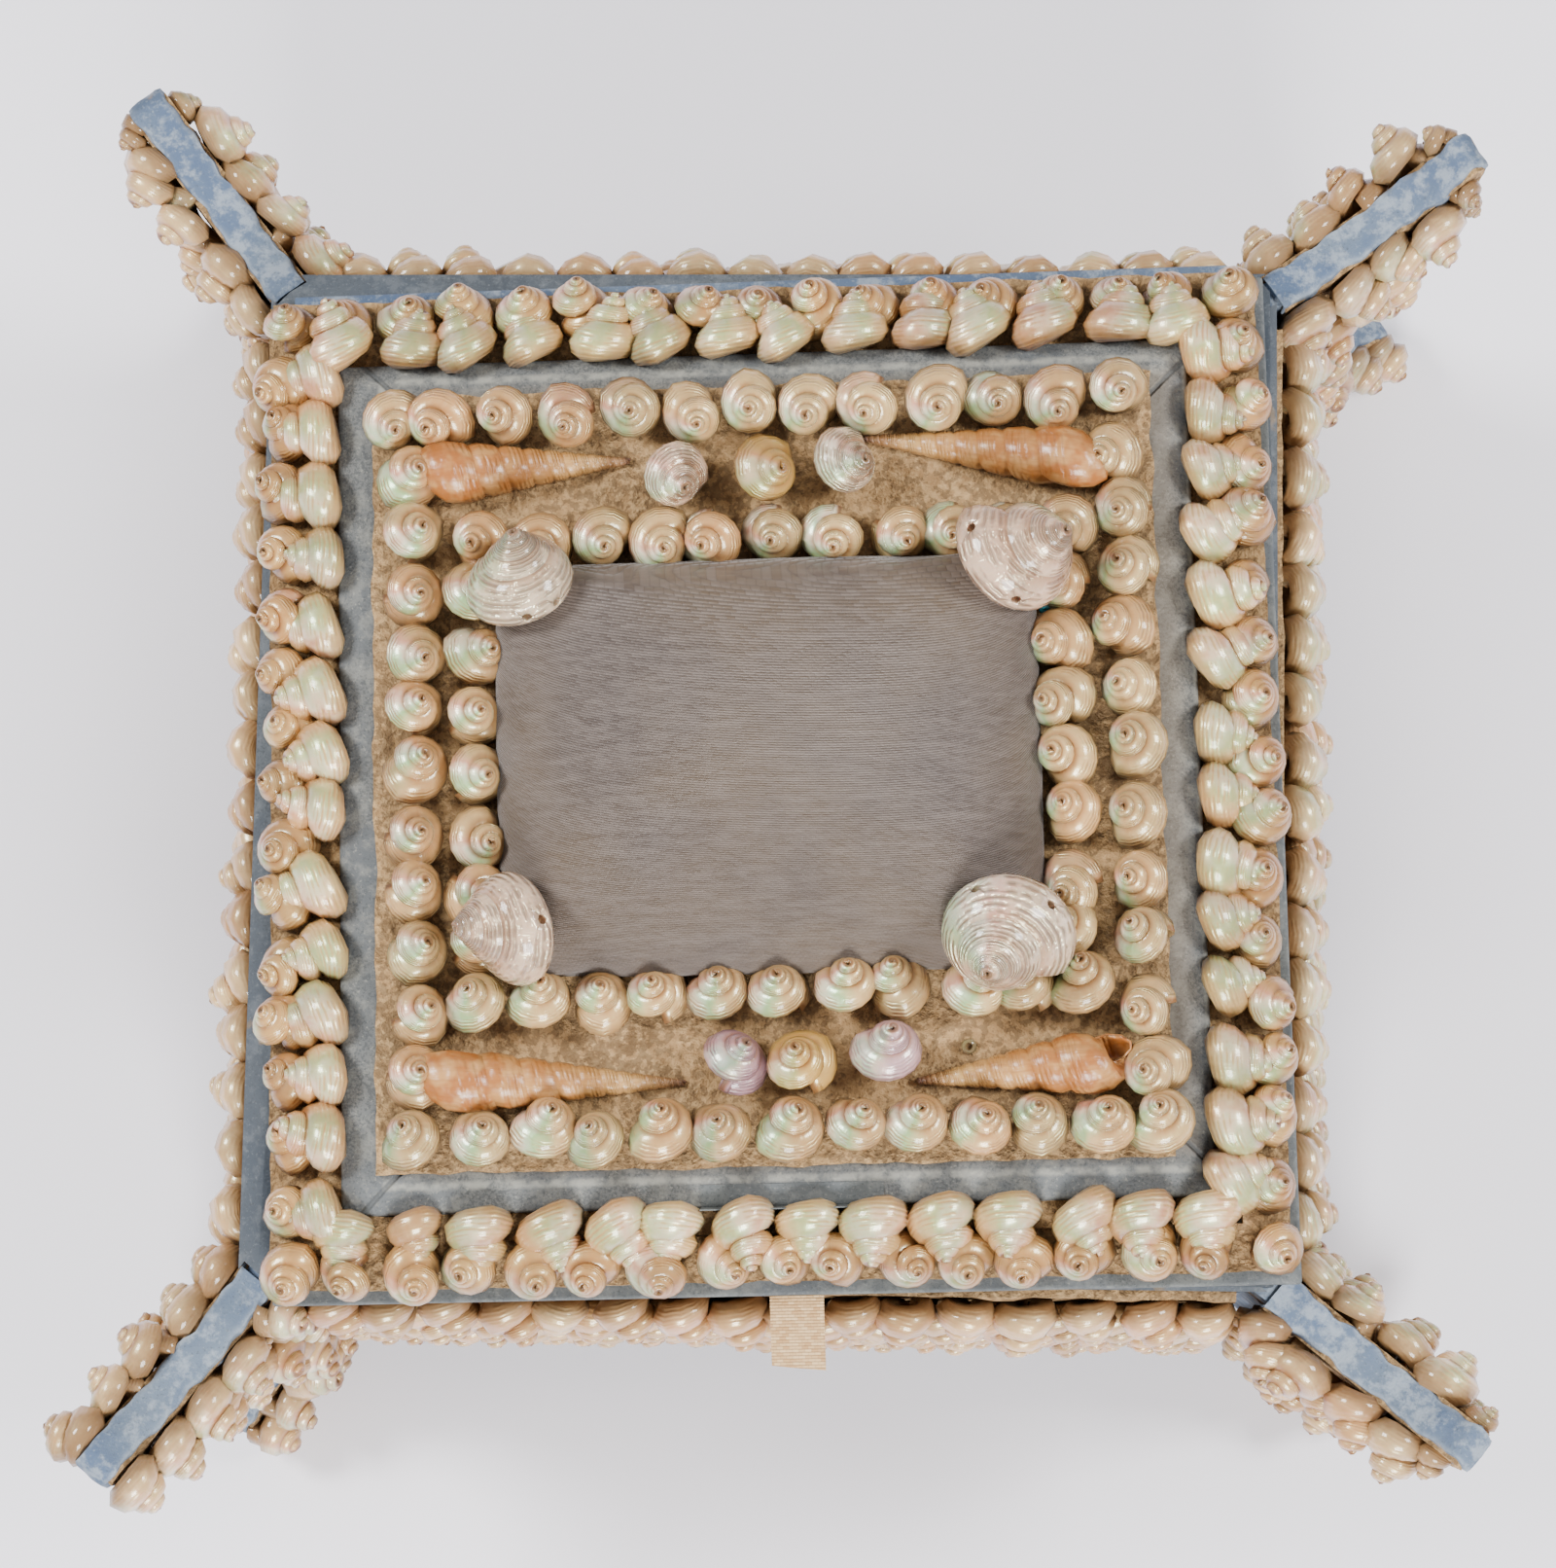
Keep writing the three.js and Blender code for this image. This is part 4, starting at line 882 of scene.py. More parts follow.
def centre_shells():
    bed = lid_bed(PUTTY_TOP + 0.3 * MM)
    dice = random.Random(14)
    for number, (name, (at, material, towards, lean)) in enumerate(CENTRE_SHELLS.items()):
        piece = stand(FINE_SHELLS[number], bed, Vector(at) * MM, CENTRE_RADIUS, material, dice,
                      math.radians(lean), math.radians(towards), sink=CENTRE_SINK)
        join([piece], f"{name}_centre_shell", "lid", f"centre_shell_{name}", slot="silver_shell")


# Where the camera sees the drilled holes of the large shells, in the lid's plan at that height
HOLE_SPOTS = {
    "back_left": ((-35.1, 27.7), (-40.2, 25.4)), "back_right": ((37.1, 38.2), (44.1, 25.9)),
    "front_left": ((-37.9, -27.0),), "front_right": ((36.6, -23.2), (49.4, -27.3)),
}
HOLE_HEIGHT = 130 * MM
HOLE_RADIUS = 0.95 * MM


def drill(piece, spots):
    """Drills a shell where the camera sees each spot: the faces there are inset, rounded and pushed in, and
    the hole's walls are painted dark as shade.
    """
    eye = camera.location
    for x, y in spots:
        aim = lid_bed(HOLE_HEIGHT) @ Vector((x * MM, y * MM, 0))
        hit, at, normal, _ = piece.ray_cast(eye, (aim - eye).normalized())
        if not hit:
            continue
        activate(piece)
        bpy.ops.object.mode_set(mode="EDIT")
        bpy.ops.mesh.select_all(action="DESELECT")
        grid = bmesh.from_edit_mesh(piece.data)
        centre = min((v for v in grid.verts if v.normal.dot(normal) > 0.5), key=lambda v: (v.co - at).length)
        for face in centre.link_faces:
            face.select_set(True)
        middle, inward = centre.co.copy(), -centre.normal
        bpy.ops.mesh.inset(thickness=0.35 * MM)
        grid = bmesh.from_edit_mesh(piece.data)
        for vertex in [v for v in grid.verts if v.select and (v.co - middle).length > 0.05 * MM]:
            level = vertex.co - middle
            level -= inward * level.dot(inward)
            vertex.co = middle + level.normalized() * HOLE_RADIUS
        # The walls of the hole take the painted hole shade
        piece.active_material_index = 1
        for depth in (0.5, 1.0, 1.5):
            bpy.ops.mesh.extrude_region_move(TRANSFORM_OT_translate={"value": inward * depth * MM})
            bpy.ops.object.material_slot_assign()
        bpy.ops.object.mode_set(mode="OBJECT")


def large_shells():
    dice = random.Random(15)
    for name, (at, radius, towards, tilt) in LARGE_SHELLS.items():
        radius *= MM
        bed = lid_bed(PUTTY_TOP + 1.6 * MM + radius)
        aim = Matrix.Rotation(math.radians(towards), 4, "Z") @ Matrix.Rotation(math.radians(tilt), 4, "Y")
        middle = Matrix.Translation((0, 0, -0.35 * LARGE_PATTERN["height"]))
        place = (bed @ Matrix.Translation((at[0] * MM, at[1] * MM, 0)) @ aim
                 @ Matrix.Rotation(dice.uniform(0, TURN), 4, "Z") @ Matrix.Scale(radius, 4) @ middle)
        piece = copy_of(LARGE_PATTERN, place, lid_bed(PUTTY_TOP), [0.8, dice.random() * 0.6, dice.random()],
                        SILVER_PEARL)
        give(piece, SILVER_PEARL, HOLE_SHADE)
        drill(piece, HOLE_SPOTS[name])
        join([piece], f"{name}_large_shell", "lid", f"large_shell_{name}", slot="silver_shell")


LOST_SHELL = (34.0 * MM, -49.3 * MM)
BOARD_SIDE = 179 * MM
BOARD_SHIFT = (0.7, -1.4)


def bead():
    low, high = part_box("turquoise_bead")
    deselect()
    bpy.ops.mesh.primitive_torus_add(location=(low + high) / 2, rotation=(1.1, 0.3, 0),
                                     major_radius=0.75 * MM, minor_radius=0.42 * MM,
                                     major_segments=20, minor_segments=10)
    piece = bpy.context.object
    settle(piece)
    give(piece, BEAD)
    smooth(piece, 80)
    join([piece], "bead", "lid", "turquoise_bead", slot="turquoise_glass")


def putty_bed():
    """The putty on the step, and the broken foot of a shell that is lost beside a tower."""
    reach = 69 * MM
    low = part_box("lid_putty_bed")[0].z
    bed = plate("lid_putty_bed", (-reach, -reach, low), (reach, reach, PUTTY_TOP - 0.2 * MM), LID,
                1.6 * MM, lumps=1.1 * MM)
    middle = lid_bed(PUTTY_TOP + 0.5 * MM) @ Vector((*LOST_SHELL, 0))
    deselect()
    bpy.ops.mesh.primitive_torus_add(location=middle, rotation=(0.2, 0.3, 0), major_radius=1.0 * MM,
                                     minor_radius=0.4 * MM, major_segments=18, minor_segments=8)
    stub = bpy.context.object
    settle(stub)
    give(stub, GOLD_PEARL)
    join([bed, stub], "putty_on_lid", "lid", "lid_putty_bed", slot="putty")


def platform():
    """The paper-covered step under the rings: a slope that ends in a rounded ridge."""
    low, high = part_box("lid_platform")
    side, top_side, edge = 151.5 * MM, 2 * STEP_RIDGE, 2 * MM
    deselect()
    bpy.ops.mesh.primitive_cube_add(size=1, location=(0, 0, (low.z + high.z - edge) / 2))
    piece = bpy.context.object
    piece.scale = (side, side, high.z - edge - low.z)
    bpy.ops.object.transform_apply(location=True, rotation=True, scale=True)
    bpy.ops.object.mode_set(mode="EDIT")
    grid = bmesh.from_edit_mesh(piece.data)
    for face in grid.faces:
        face.select_set(face.normal.z > 0.9)
    bpy.ops.mesh.extrude_region_move(TRANSFORM_OT_translate={"value": (0, 0, edge)})
    bpy.ops.transform.resize(value=(top_side / side, top_side / side, 1))
    bpy.ops.object.mode_set(mode="OBJECT")
    bevel = piece.modifiers.new("soften", "BEVEL")
    bevel.width = 0.7 * MM
    bevel.segments = 3
    bevel.angle_limit = math.radians(12)
    apply_modifiers(piece)
    piece.data.transform(LID)
    give(piece, PLATFORM_PAPER)
    smooth(piece, 50)
    step = join([piece], "papered_step", "lid", "lid_platform", slot="faded_blue_paper")
    paper_patch(step)


def paper_patch(step):
    """A thin mend pasted on the front slope of the step."""
    low, high = Vector((-13, -76.2)) * MM, Vector((18.7, -71.9)) * MM
    middle = (low + high) / 2
    deselect()
    bpy.ops.mesh.primitive_grid_add(x_subdivisions=24, y_subdivisions=8, size=1)
    piece = bpy.context.object
    piece.scale = (high.x - low.x, high.y - low.y, 1)
    piece.location = (middle.x, middle.y, PUTTY_TOP)
    settle(piece)
    piece.data.transform(LID)
    wrap = piece.modifiers.new("wrap", "SHRINKWRAP")
    wrap.target = step
    wrap.wrap_method = "PROJECT"
    wrap.use_project_z = True
    wrap.use_negative_direction = True
    wrap.use_positive_direction = False
    wrap.offset = 0.12 * MM
    thick = piece.modifiers.new("thick", "SOLIDIFY")
    thick.thickness = 0.2 * MM
    apply_modifiers(piece)
    give(piece, GREY_PAPER)
    smooth(piece, 40)
    join([piece], "paper_patch", "lid", slot="faded_blue_paper")


def lid_board():
    """The lid's card, bound in paper, with its corners and edges worn round."""
    low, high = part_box("lid_board")
    side, shift = BOARD_SIDE, Vector((*BOARD_SHIFT, 0)) * MM
    deselect()
    bpy.ops.mesh.primitive_cube_add(size=1, location=shift + Vector((0, 0, (low.z + high.z) / 2)))
    piece = bpy.context.object
    piece.scale = (side, side, high.z - low.z)
    bpy.ops.object.transform_apply(location=True, rotation=True, scale=True)
    bpy.ops.object.mode_set(mode="EDIT")
    grid = bmesh.from_edit_mesh(piece.data)
    for edge in grid.edges:
        upright = abs(edge.verts[0].co.z - edge.verts[1].co.z) > MM
        edge.select_set(upright)
    bpy.ops.mesh.bevel(offset=5 * MM, segments=6)
    bpy.ops.object.mode_set(mode="OBJECT")
    bevel = piece.modifiers.new("soften", "BEVEL")
    bevel.width = 0.6 * MM
    bevel.segments = 3
    bevel.angle_limit = math.radians(40)
    apply_modifiers(piece)
    piece.data.transform(LID)
    give(piece, GREY_PAPER)
    smooth(piece, 40)
    join([piece], "papered_lid_card", "lid", "lid_board", slot="faded_blue_paper")


RIM_OVERHANG = 1.5 * MM
DRAWN_IN_FRONT, DRAWN_IN_RIGHT = 2.9 * MM, 2.4 * MM


def rim():
    """The blue paper over the box's rim. Its turned edge lies closer at the front and on the right."""
    source = nodes["rim_binding"]
    piece = source.copy()
    piece.data = source.data.copy()
    bpy.context.scene.collection.objects.link(piece)
    settle(piece)
    grid = bmesh.new()
    grid.from_mesh(piece.data)
    bmesh.ops.remove_doubles(grid, verts=grid.verts[:], dist=0.01 * MM)
    to_box = BOX.inverted()
    for vertex in grid.verts:
        place = to_box @ vertex.co
        vertex.co.y += DRAWN_IN_FRONT if place.y < -WALL - RIM_OVERHANG else 0
        vertex.co.x -= DRAWN_IN_RIGHT if place.x > WALL + RIM_OVERHANG else 0
    grid.to_mesh(piece.data)
    grid.free()
    give(piece, RIM_PAPER)
    smooth(piece, 30)
    join([piece], "papered_rim", "box", "rim_binding", slot="blue_paper")


TAB_MIDDLE, TAB_WIDTH, TAB_THICK = 2.9 * MM, 9.4 * MM, 0.5 * MM
TAB_GLUED, TAB_FREE, TAB_DROOP = 8 * MM, 12.4 * MM, 2.2 * MM
TAB_SLANT, TAB_CUP = 1.1 * MM, 0.25 * MM


def pull_tab():
    """A short woven ribbon under the front edge, its cut end hanging a little."""
    front = BOARD_SHIFT[1] * MM - BOARD_SIDE / 2
    deselect()
    bpy.ops.mesh.primitive_grid_add(x_subdivisions=12, y_subdivisions=24, size=1)
    piece = bpy.context.object
    points = points_of(piece.data)
    run = points[:, 1] + 0.5
    x = points[:, 0] * TAB_WIDTH + TAB_MIDDLE
    y = front + TAB_GLUED - run * (TAB_GLUED + TAB_FREE) - points[:, 0] * TAB_SLANT * run
    outside = np.clip((front - y) / TAB_FREE, 0, 1)
    top = BOARD_UNDERSIDE + 1.6 * MM
    z = top - TAB_DROOP * outside ** 2 + TAB_CUP * np.sin(points[:, 0] * 5) * outside
    piece.data.vertices.foreach_set("co", np.stack([x, y, z], 1).astype(np.float32).ravel())
    thickness = piece.modifiers.new("cloth", "SOLIDIFY")
    thickness.thickness = TAB_THICK
    apply_modifiers(piece)
    piece.data.transform(LID)
    give(piece, RIBBON)
    smooth(piece, 60)
    join([piece], "ribbon_tab", "lid", "pull_tab", slot="ribbon")


def pincushion():
    """A crowned satin pad. Its slab is blown up as cloth, held down along its base."""
    width, length, height = 94.5 * MM, 72.5 * MM, 10.5 * MM
    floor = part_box("pincushion")[0].z
    centre = Vector((0.6, 0.2)) * MM
    deselect()
    bpy.ops.mesh.primitive_cube_add(size=1, location=(centre.x, centre.y, floor + height / 2))
    pad = bpy.context.object
    pad.scale = (width, length, height)
    bpy.ops.object.transform_apply(location=True, rotation=True, scale=True)
    bpy.ops.object.mode_set(mode="EDIT")
    bpy.ops.mesh.select_all(action="SELECT")
    bpy.ops.mesh.bevel(offset=3 * MM, segments=3)
    leave_edit(pad, "satin_pincushion")
    voxels = pad.modifiers.new("voxels", "REMESH")
    voxels.mode = "VOXEL"
    voxels.voxel_size = 3 * MM
    apply_modifiers(pad)
    crown(pad, centre, width / 2, length / 2, floor, height)
    pad.data.transform(LID)
    swell(pad, floor, 2.4 * MM)
    finer = pad.modifiers.new("finer", "SUBSURF")
    finer.levels = 1
    finer.render_levels = 1
    apply_modifiers(pad)
    bpy.ops.object.shade_smooth()
    give(pad, SATIN)
    done(pad, "lid", "pincushion", slot="satin")


DOME, DRAWN_DOWN, PUCKER, BELLY = 5.8 * MM, 1.6 * MM, 0.35 * MM, 0.014


def crown(pad, centre, half_width, half_length, floor, height):
    """Stuffs the pad: its middle rises, its sides belly out and its top edges are drawn in unevenly."""
    points = points_of(pad.data)
    u = (points[:, 0] - centre.x) / half_width
    v = (points[:, 1] - centre.y) / half_length
    share = np.clip((points[:, 2] - floor) / height, 0, 1)
    dome = (1 - np.clip(u, -1, 1) ** 2) ** 0.8 * (1 - np.clip(v, -1, 1) ** 2) ** 0.8
    edge = np.maximum(abs(u), abs(v)) ** 6
    belly = 1 + BELLY * np.sin(share * math.pi) * (1 - np.minimum(abs(u), abs(v)) ** 2)
    pucker = PUCKER * np.sin(u * 9 + v * 2) * np.sin(v * 11 + u * 3) * edge
    points[:, 2] += share * (DOME * dome - DRAWN_DOWN * edge + pucker)
    points[:, 0] = centre.x + (points[:, 0] - centre.x) * belly
    points[:, 1] = centre.y + (points[:, 1] - centre.y) * belly
    pad.data.vertices.foreach_set("co", points.astype(np.float32).ravel())


def swell(pad, floor, most):
    """Simulates a pad under pressure, caps how far each point moves and lays its base flat again."""
    rest = points_of(pad.data)
    held = pad.vertex_groups.new(name="base")
    held.add([k for k, point in enumerate(rest) if point[2] < floor + 1.5 * MM], 1.0, "REPLACE")
    cloth = pad.modifiers.new("cloth", "CLOTH")
    cloth.settings.use_pressure = True
    cloth.settings.uniform_pressure_force = 30
    cloth.settings.effector_weights.gravity = 0
    cloth.settings.vertex_group_mass = "base"
    scene = bpy.context.scene
    for moment in range(1, 21):
        scene.frame_set(moment)
    apply_modifiers(pad)
    scene.frame_set(1)
    moved = points_of(pad.data) - rest
    far = np.linalg.norm(moved, axis=1, keepdims=True)
    moved *= np.minimum(1, most / np.maximum(far, 1e-9))
    placed = rest + moved
    placed[:, 2] = np.maximum(placed[:, 2], floor)
    pad.data.vertices.foreach_set("co", placed.astype(np.float32).ravel())


# Walls and fins

WALL_SHELL_RADIUS, WALL_SHELL_SINK, WALL_PUTTY = 5.8 * MM, 1.3 * MM, 2.4 * MM


def wall_shells():
    """Rows of shells on a putty bed on each wall, their tips leaning out and down."""
    dice = random.Random(21)
    columns, rows = 16, 7
    bottom, top = BODY_BOTTOM + 1.5 * MM, RIM_TOP - 3.6 * MM
    half = WALL - 6 * MM
    for side, angle in SIDES.items():
        turn = math.radians(angle) - math.pi / 2
        out = BOX @ Matrix.Rotation(turn, 4, "Z") @ Matrix.Translation((0, WALL + 0.3 * MM, 0))
        bed = out @ Matrix.Rotation(-math.pi / 2, 4, "X")
        made = [plate("bed", (-half, 0, bottom), (half, WALL_PUTTY, top), out, 3.5 * MM)]
        pitch = 2 * half / columns
        rise = (top - bottom) / rows
        for row in range(rows):
            shift = 0.5 if row % 2 else 0
            for k in range(columns - row % 2):
                x = -half + (k + 0.5 + shift) * pitch + dice.uniform(-0.4, 0.4) * MM
                z = top - (row + 0.5) * rise + dice.uniform(-0.4, 0.4) * MM
                pattern = dice.choice(PLAIN_SHELLS)
                down = math.pi / 2 + dice.uniform(-0.6, 0.6)
                radius = WALL_SHELL_RADIUS * dice.uniform(0.94, 1.06)
                lean = math.radians(dice.uniform(20, 42))
                made.append(stand(pattern, bed @ Matrix.Translation((0, 0, 1.9 * MM)), (x, -z), radius,
                                  WORN_PEARL, dice, lean, down, down - pattern["mouth"],
                                  sink=WALL_SHELL_SINK))
        join(made, f"{side}_wall_shells", "box", f"wall_shells_{side}", slot="worn_shell")


# Each fin's corner and the way it points in plan, in degrees. Its shape is in millimetres, as (out, up).
FINS = {"front_left": ((-1, -1), 231.8), "front_right": ((1, -1), 320.9), "back_right": ((1, 1), 34.9),
        "back_left": ((-1, 1), 128.1)}
HORN_REACH, HORN_HEIGHT, HORN_DEPTH = 44.9, 107, 14
FIN_ROOT, FIN_DIP = 99.5, 97
WAIST_REACH, WAIST_HEIGHT = 14, 55
FOOT_REACH, TOE_HEIGHT, HEEL_REACH = 34, 13, 10
UNDER_REACH, UNDER_HEIGHT = -13, 25
FIN_HALF = 2.5 * MM
FIN_SHELL_SINK = 1.4 * MM
CROWDING = 0.76
STRIP_HALF, STRIP_FLAP, STRIP_FOLD = 3.0, 2.4, 0.7


def curve(*control, steps=8):
    """Points of a Bezier curve, after its first."""
    made = []
    for k in range(1, steps + 1):
        t = k / steps
        row = [Vector(point) for point in control]
        while len(row) > 1:
            row = [a.lerp(b, t) for a, b in zip(row, row[1:])]
        made.append(row[0])
    return made


def fin_edge():
    """The fin's outer edge in (out, up), in millimetres: along the horn and down to the toe."""
    edge = [Vector((0, FIN_ROOT))]
    edge += curve(edge[0], (HORN_REACH * 0.5, 2 * FIN_DIP - FIN_ROOT), (HORN_REACH - 3, HORN_HEIGHT),
                  steps=12)
    edge += curve(edge[-1], (HORN_REACH, HORN_HEIGHT), (HORN_REACH, HORN_HEIGHT - 3), steps=4)
    edge += [Vector((HORN_REACH - 1, HORN_HEIGHT - HORN_DEPTH))]
    edge += curve(edge[-1], (HORN_REACH * 0.62, HORN_HEIGHT - HORN_DEPTH - 6),
                  (WAIST_REACH + 1, (WAIST_HEIGHT + HORN_HEIGHT) / 2 - 3), (WAIST_REACH, WAIST_HEIGHT),
                  steps=14)
    edge += curve(edge[-1], (WAIST_REACH, WAIST_HEIGHT * 0.5), (FOOT_REACH * 0.55, TOE_HEIGHT * 1.6),
                  (FOOT_REACH - 2, TOE_HEIGHT), steps=12)
    edge += curve(edge[-1], (FOOT_REACH, TOE_HEIGHT - 2), (FOOT_REACH, TOE_HEIGHT - 5), steps=3)
    edge += [Vector((FOOT_REACH - 2, 0.4))]
    return edge


def fin_outline(edge):
    heel = [Vector((HEEL_REACH, 0.4))]
    heel += curve(heel[0], (HEEL_REACH - 3, 12), (2, 18), (UNDER_REACH, UNDER_HEIGHT), steps=6)
    return edge + heel + [Vector((UNDER_REACH, 33)), Vector((UNDER_REACH / 2, FIN_ROOT))]


def depth_inside(spot, outline):
    """How far a spot is inside a closed outline, below 0 outside it."""
    inside, near = False, 1e9
    for a, b in zip(outline, outline[1:] + outline[:1]):
        run = b - a
        t = max(0, min(1, (spot - a).dot(run) / max(run.length_squared, 1e-9)))
        near = min(near, (spot - a - run * t).length)
        if (a.y > spot.y) != (b.y > spot.y) and spot.x < (b.x - a.x) * (spot.y - a.y) / (b.y - a.y) + a.x:
            inside = not inside
    return near if inside else -near


def even_points(line, gap):
    """Points at even steps along a line."""
    made, left = [], gap / 2
    for a, b in zip(line, line[1:]):
        run = (b - a).length
        while left < run:
            made.append(a.lerp(b, left / run))
            left += gap
        left -= run
    return made


def shifted(line, distance):
    """A line moved sideways, to the right of its direction."""
    made = []
    for k, point in enumerate(line):
        way = (line[min(k + 1, len(line) - 1)] - line[max(k - 1, 0)]).normalized()
        made.append(point + Vector((way.y, -way.x)) * distance)
    return made


def fin_spots(edge, outline, dice):
    """Where shells crowd a fin's face and how large they are: a line inside its edge, large ones on
    the space that is left, and small ones between them."""
    spots = []
    first_line = even_points(shifted(edge, 3.6), 1.2)
    passes = ((0, 6.0, 3.2, first_line), (3.0, 5.3, 3.6, None), (2.1, 3.3, 2.4, None))
    for gap, radius, inset, line in passes:
        if not line:
            line = [Vector((u, z)) for z in np.arange(5, HORN_HEIGHT, gap)
                    for u in np.arange(2, HORN_REACH, gap)]
        for spot in line:
            spot = spot + Vector((dice.uniform(-0.5, 0.5), dice.uniform(-0.5, 0.5)))
            clear = all((spot - other).length > (radius + size) * CROWDING for other, size in spots)
            if clear and spot.x > 3.5 and spot.y > radius * 1.15 and depth_inside(spot, outline) > inset:
                spots.append((spot, radius))
    return spots


def fin_bed(outline, place, side):
    """A thin sheet of putty in the fin's outline, on one face."""
    deselect()
    mesh = bpy.data.meshes.new("fin_bed")
    shape = bmesh.new()
    inner = shifted(outline, 0.4)
    near, far = side * (FIN_HALF + 0.2 * MM), side * (FIN_HALF + 1.4 * MM)
    corners = [shape.verts.new((max(p.x, 1.5) * MM, near, max(p.y, 0.4) * MM)) for p in inner]
    face = shape.faces.new(corners)
    raised = bmesh.ops.extrude_face_region(shape, geom=[face])
    moved = [v for v in raised["geom"] if isinstance(v, bmesh.types.BMVert)]
    bmesh.ops.translate(shape, vec=(0, far - near, 0), verts=moved)
    bmesh.ops.remove_doubles(shape, verts=shape.verts[:], dist=0.01 * MM)
    bmesh.ops.recalc_face_normals(shape, faces=shape.faces[:])
    shape.to_mesh(mesh)
    shape.free()
    piece = bpy.data.objects.new("fin_bed", mesh)
    bpy.context.scene.collection.objects.link(piece)
    mesh.transform(place)
    give(piece, PUTTY)
    return piece


def fin_strip(edge, place, name):
    """The paper strip over the fin's edge, its borders folded down on both sides and worn at the folds."""
    half, fold, flap = STRIP_HALF, STRIP_FOLD, STRIP_FLAP
    line = even_points([Vector((0.6, FIN_ROOT))] + edge[1:], 1.2)
    deselect()
    bpy.ops.mesh.primitive_grid_add(x_subdivisions=14, y_subdivisions=len(line) - 1, size=2)
    piece = bpy.context.object
    points = points_of(piece.data)
    raised, lowered = shifted(line, -0.55), shifted(line, flap)
    rows = np.rint((points[:, 1] + 1) / 2 * (len(line) - 1)).astype(int)
    made, wear = [], []
    for row, across in zip(rows, points[:, 0]):
        down = max(0, abs(across) - fold) / (1 - fold)
        spot = raised[row].lerp(lowered[row], down * (0.8 + 0.2 * math.sin(row * 0.7)))
        bulge = 0.25 * math.sin(row * 0.53 + across) + 0.2 * math.sin(row * 1.31 - 2 * across)
        level = math.copysign(min(abs(across), fold) / fold * (half + bulge) + 0.35 * down, across)
        made.append((spot.x * MM, level * MM, spot.y * MM))
        wear.append(math.exp(-((abs(across) - fold) / 0.09) ** 2))
    piece.data.vertices.foreach_set("co", np.array(made, np.float32).ravel())
    add_value(piece.data, "wear", "FLOAT", wear)
    piece.data.transform(place)
    wrinkle = piece.modifiers.new("wrinkle", "DISPLACE")
    wrinkle.texture = LUMPS
    wrinkle.texture_coords = "LOCAL"
    wrinkle.strength = 1.1 * MM
    thick = piece.modifiers.new("thick", "SOLIDIFY")
    thick.thickness = 0.35 * MM
    apply_modifiers(piece)
    give(piece, BLUE_PAPER)
    smooth(piece, 60)
    join([piece], f"{name}_fin_strip", "box", f"fin_edging_{name}", slot="blue_paper")


def fins():
    dice = random.Random(31)
    edge = fin_edge()
    outline = fin_outline(edge)
    for name, (corner, angle) in FINS.items():
        root = BOX @ Matrix.Translation((corner[0] * WALL, corner[1] * WALL, 0))
        place = root @ Matrix.Rotation(math.radians(angle), 4, "Z")
        fin_strip(edge, place, name)
        for sign in (1, -1):
            towards = "end" if (corner[0] * corner[1] > 0) == (sign > 0) else "side"
            made = [fin_bed(outline, place, sign)]
            face = (place @ Matrix.Translation((0, sign * (FIN_HALF + 1.2 * MM), 0))
                    @ Matrix.Rotation(-sign * math.pi / 2, 4, "X"))
            for spot, radius in fin_spots(edge, outline, dice):
                at = (spot.x * MM, -sign * spot.y * MM)
                pattern = dice.choice(PLAIN_SHELLS)
                way = dice.uniform(0, TURN)
                size = radius * MM * dice.uniform(0.93, 1.06)
                lean = math.radians(dice.uniform(5, 25))
                made.append(stand(pattern, face, at, size, WORN_PEARL, dice, lean, way,
                                  way - pattern["mouth"], sink=FIN_SHELL_SINK))
            join(made, f"{name}_fin_{towards}_shells", "box", f"fin_shells_{name}_{towards}",
                 slot="worn_shell")


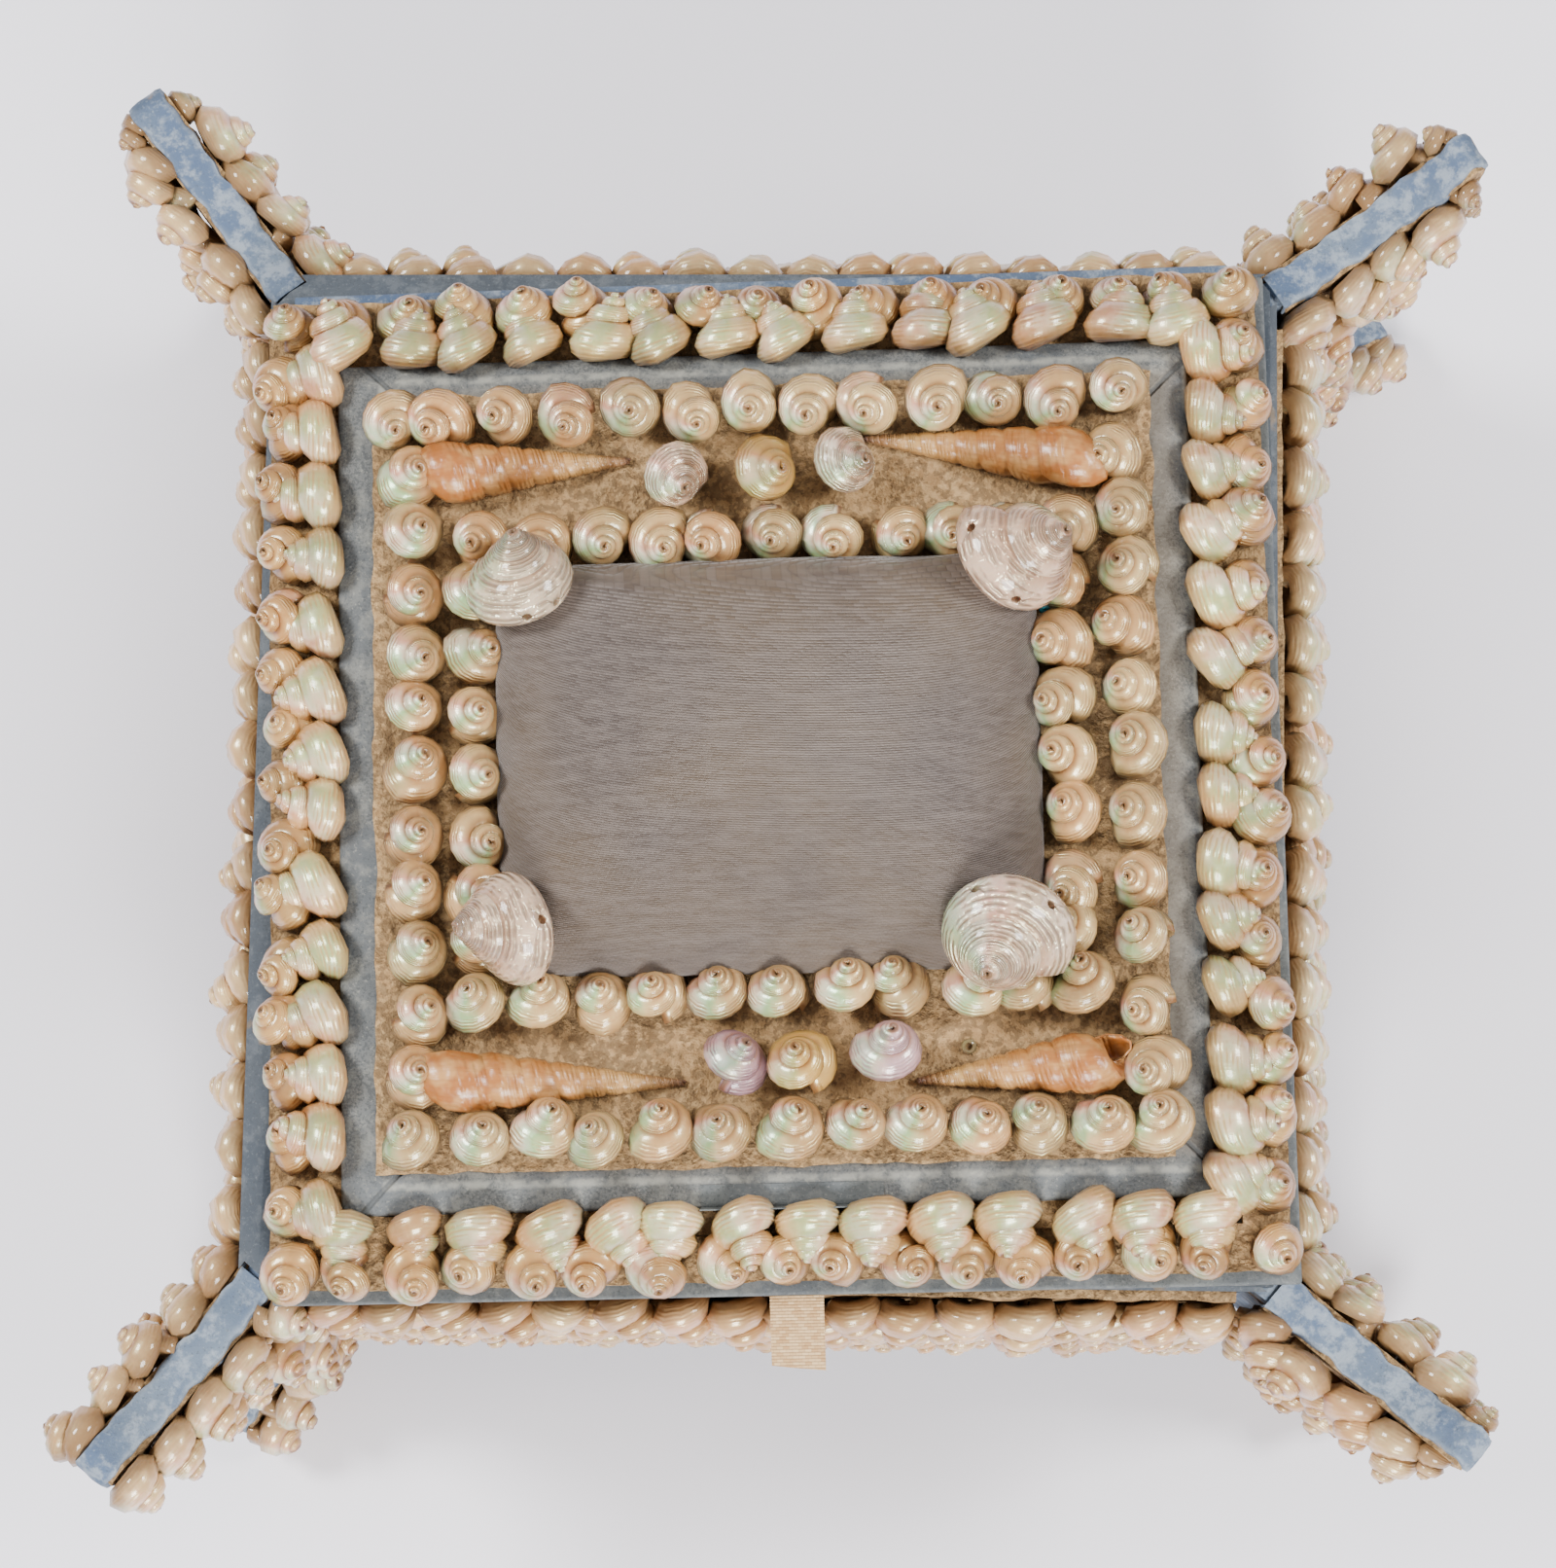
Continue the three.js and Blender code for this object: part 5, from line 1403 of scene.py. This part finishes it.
def hinge_paper():
    """The paper hinge: a strip from the back rim up to the lid's ledge."""
    half = 84 * MM
    y0 = WALL + 0.6 * MM
    deselect()
    bpy.ops.mesh.primitive_grid_add(x_subdivisions=60, y_subdivisions=16, size=2)
    piece = bpy.context.object
    points = points_of(piece.data)
    run = (points[:, 1] + 1) / 2
    low, high = RIM_TOP - 1.5 * MM, LEDGE + 0.3 * MM
    z = low + (high - low) * np.clip(run / 0.8, 0, 1)
    y = y0 - 6 * MM * np.clip((run - 0.8) / 0.2, 0, 1) + 0.3 * MM
    x = points[:, 0] * half
    piece.data.vertices.foreach_set("co", np.stack([x, y, z], 1).astype(np.float32).ravel())
    piece.data.transform(BOX @ Matrix.Rotation(LID_SKEW, 4, "Z"))
    thick = piece.modifiers.new("thick", "SOLIDIFY")
    thick.thickness = 0.35 * MM
    apply_modifiers(piece)
    give(piece, BLUE_PAPER)
    smooth(piece, 60)
    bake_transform(piece)
    piece.name = "paper_hinge"
    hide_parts("lid_hinge_strip")


ring_rows()
frame_rows()
tower_shells()
centre_shells()
large_shells()
bead()
putty_bed()
platform()
lid_board()
rim()
pull_tab()
pincushion()
wall_shells()
fins()
hinge_paper()
give(nodes["box_carcass"], GREY_PAPER)
for name in FINS:
    give(nodes[f"fin_{name}"], BLUE_PAPER)


# Floor and light


def stage():
    deselect()
    bpy.ops.mesh.primitive_plane_add(size=4, location=(0, 0, -0.0002))
    floor = bpy.context.object
    floor.name = "floor"
    material, tree, shader = new_material("floor", Roughness=0.7)
    tone = noise(tree, object_place(tree), 6.0, 2.0)
    feed(tree, shader.inputs["Base Color"], blend_colour(tree, tone, shade("eceaf1"), shade("f2f0f6")))
    give(floor, material)


def softbox(name, place, size, power, aim=(0, 0, 0.08)):
    data = bpy.data.lights.new(name, "AREA")
    data.size = size
    data.energy = power
    lamp = bpy.data.objects.new(name, data)
    lamp.location = place
    lamp.rotation_euler = (Vector(aim) - Vector(place)).to_track_quat("-Z", "Y").to_euler()
    bpy.context.scene.collection.objects.link(lamp)


stage()
softbox("left_light", (-0.75, 0.25, 0.85), 0.32, 15.5)
softbox("right_light", (0.8, 0.1, 0.8), 0.32, 13.0)
softbox("front_light", (0.1, -0.9, 0.7), 0.4, 20.0)
world = bpy.data.worlds.new("soft_room")
world.use_nodes = True
world.node_tree.nodes["Background"].inputs[0].default_value = shade("e8e8f0")
world.node_tree.nodes["Background"].inputs[1].default_value = 0.5
bpy.context.scene.world = world
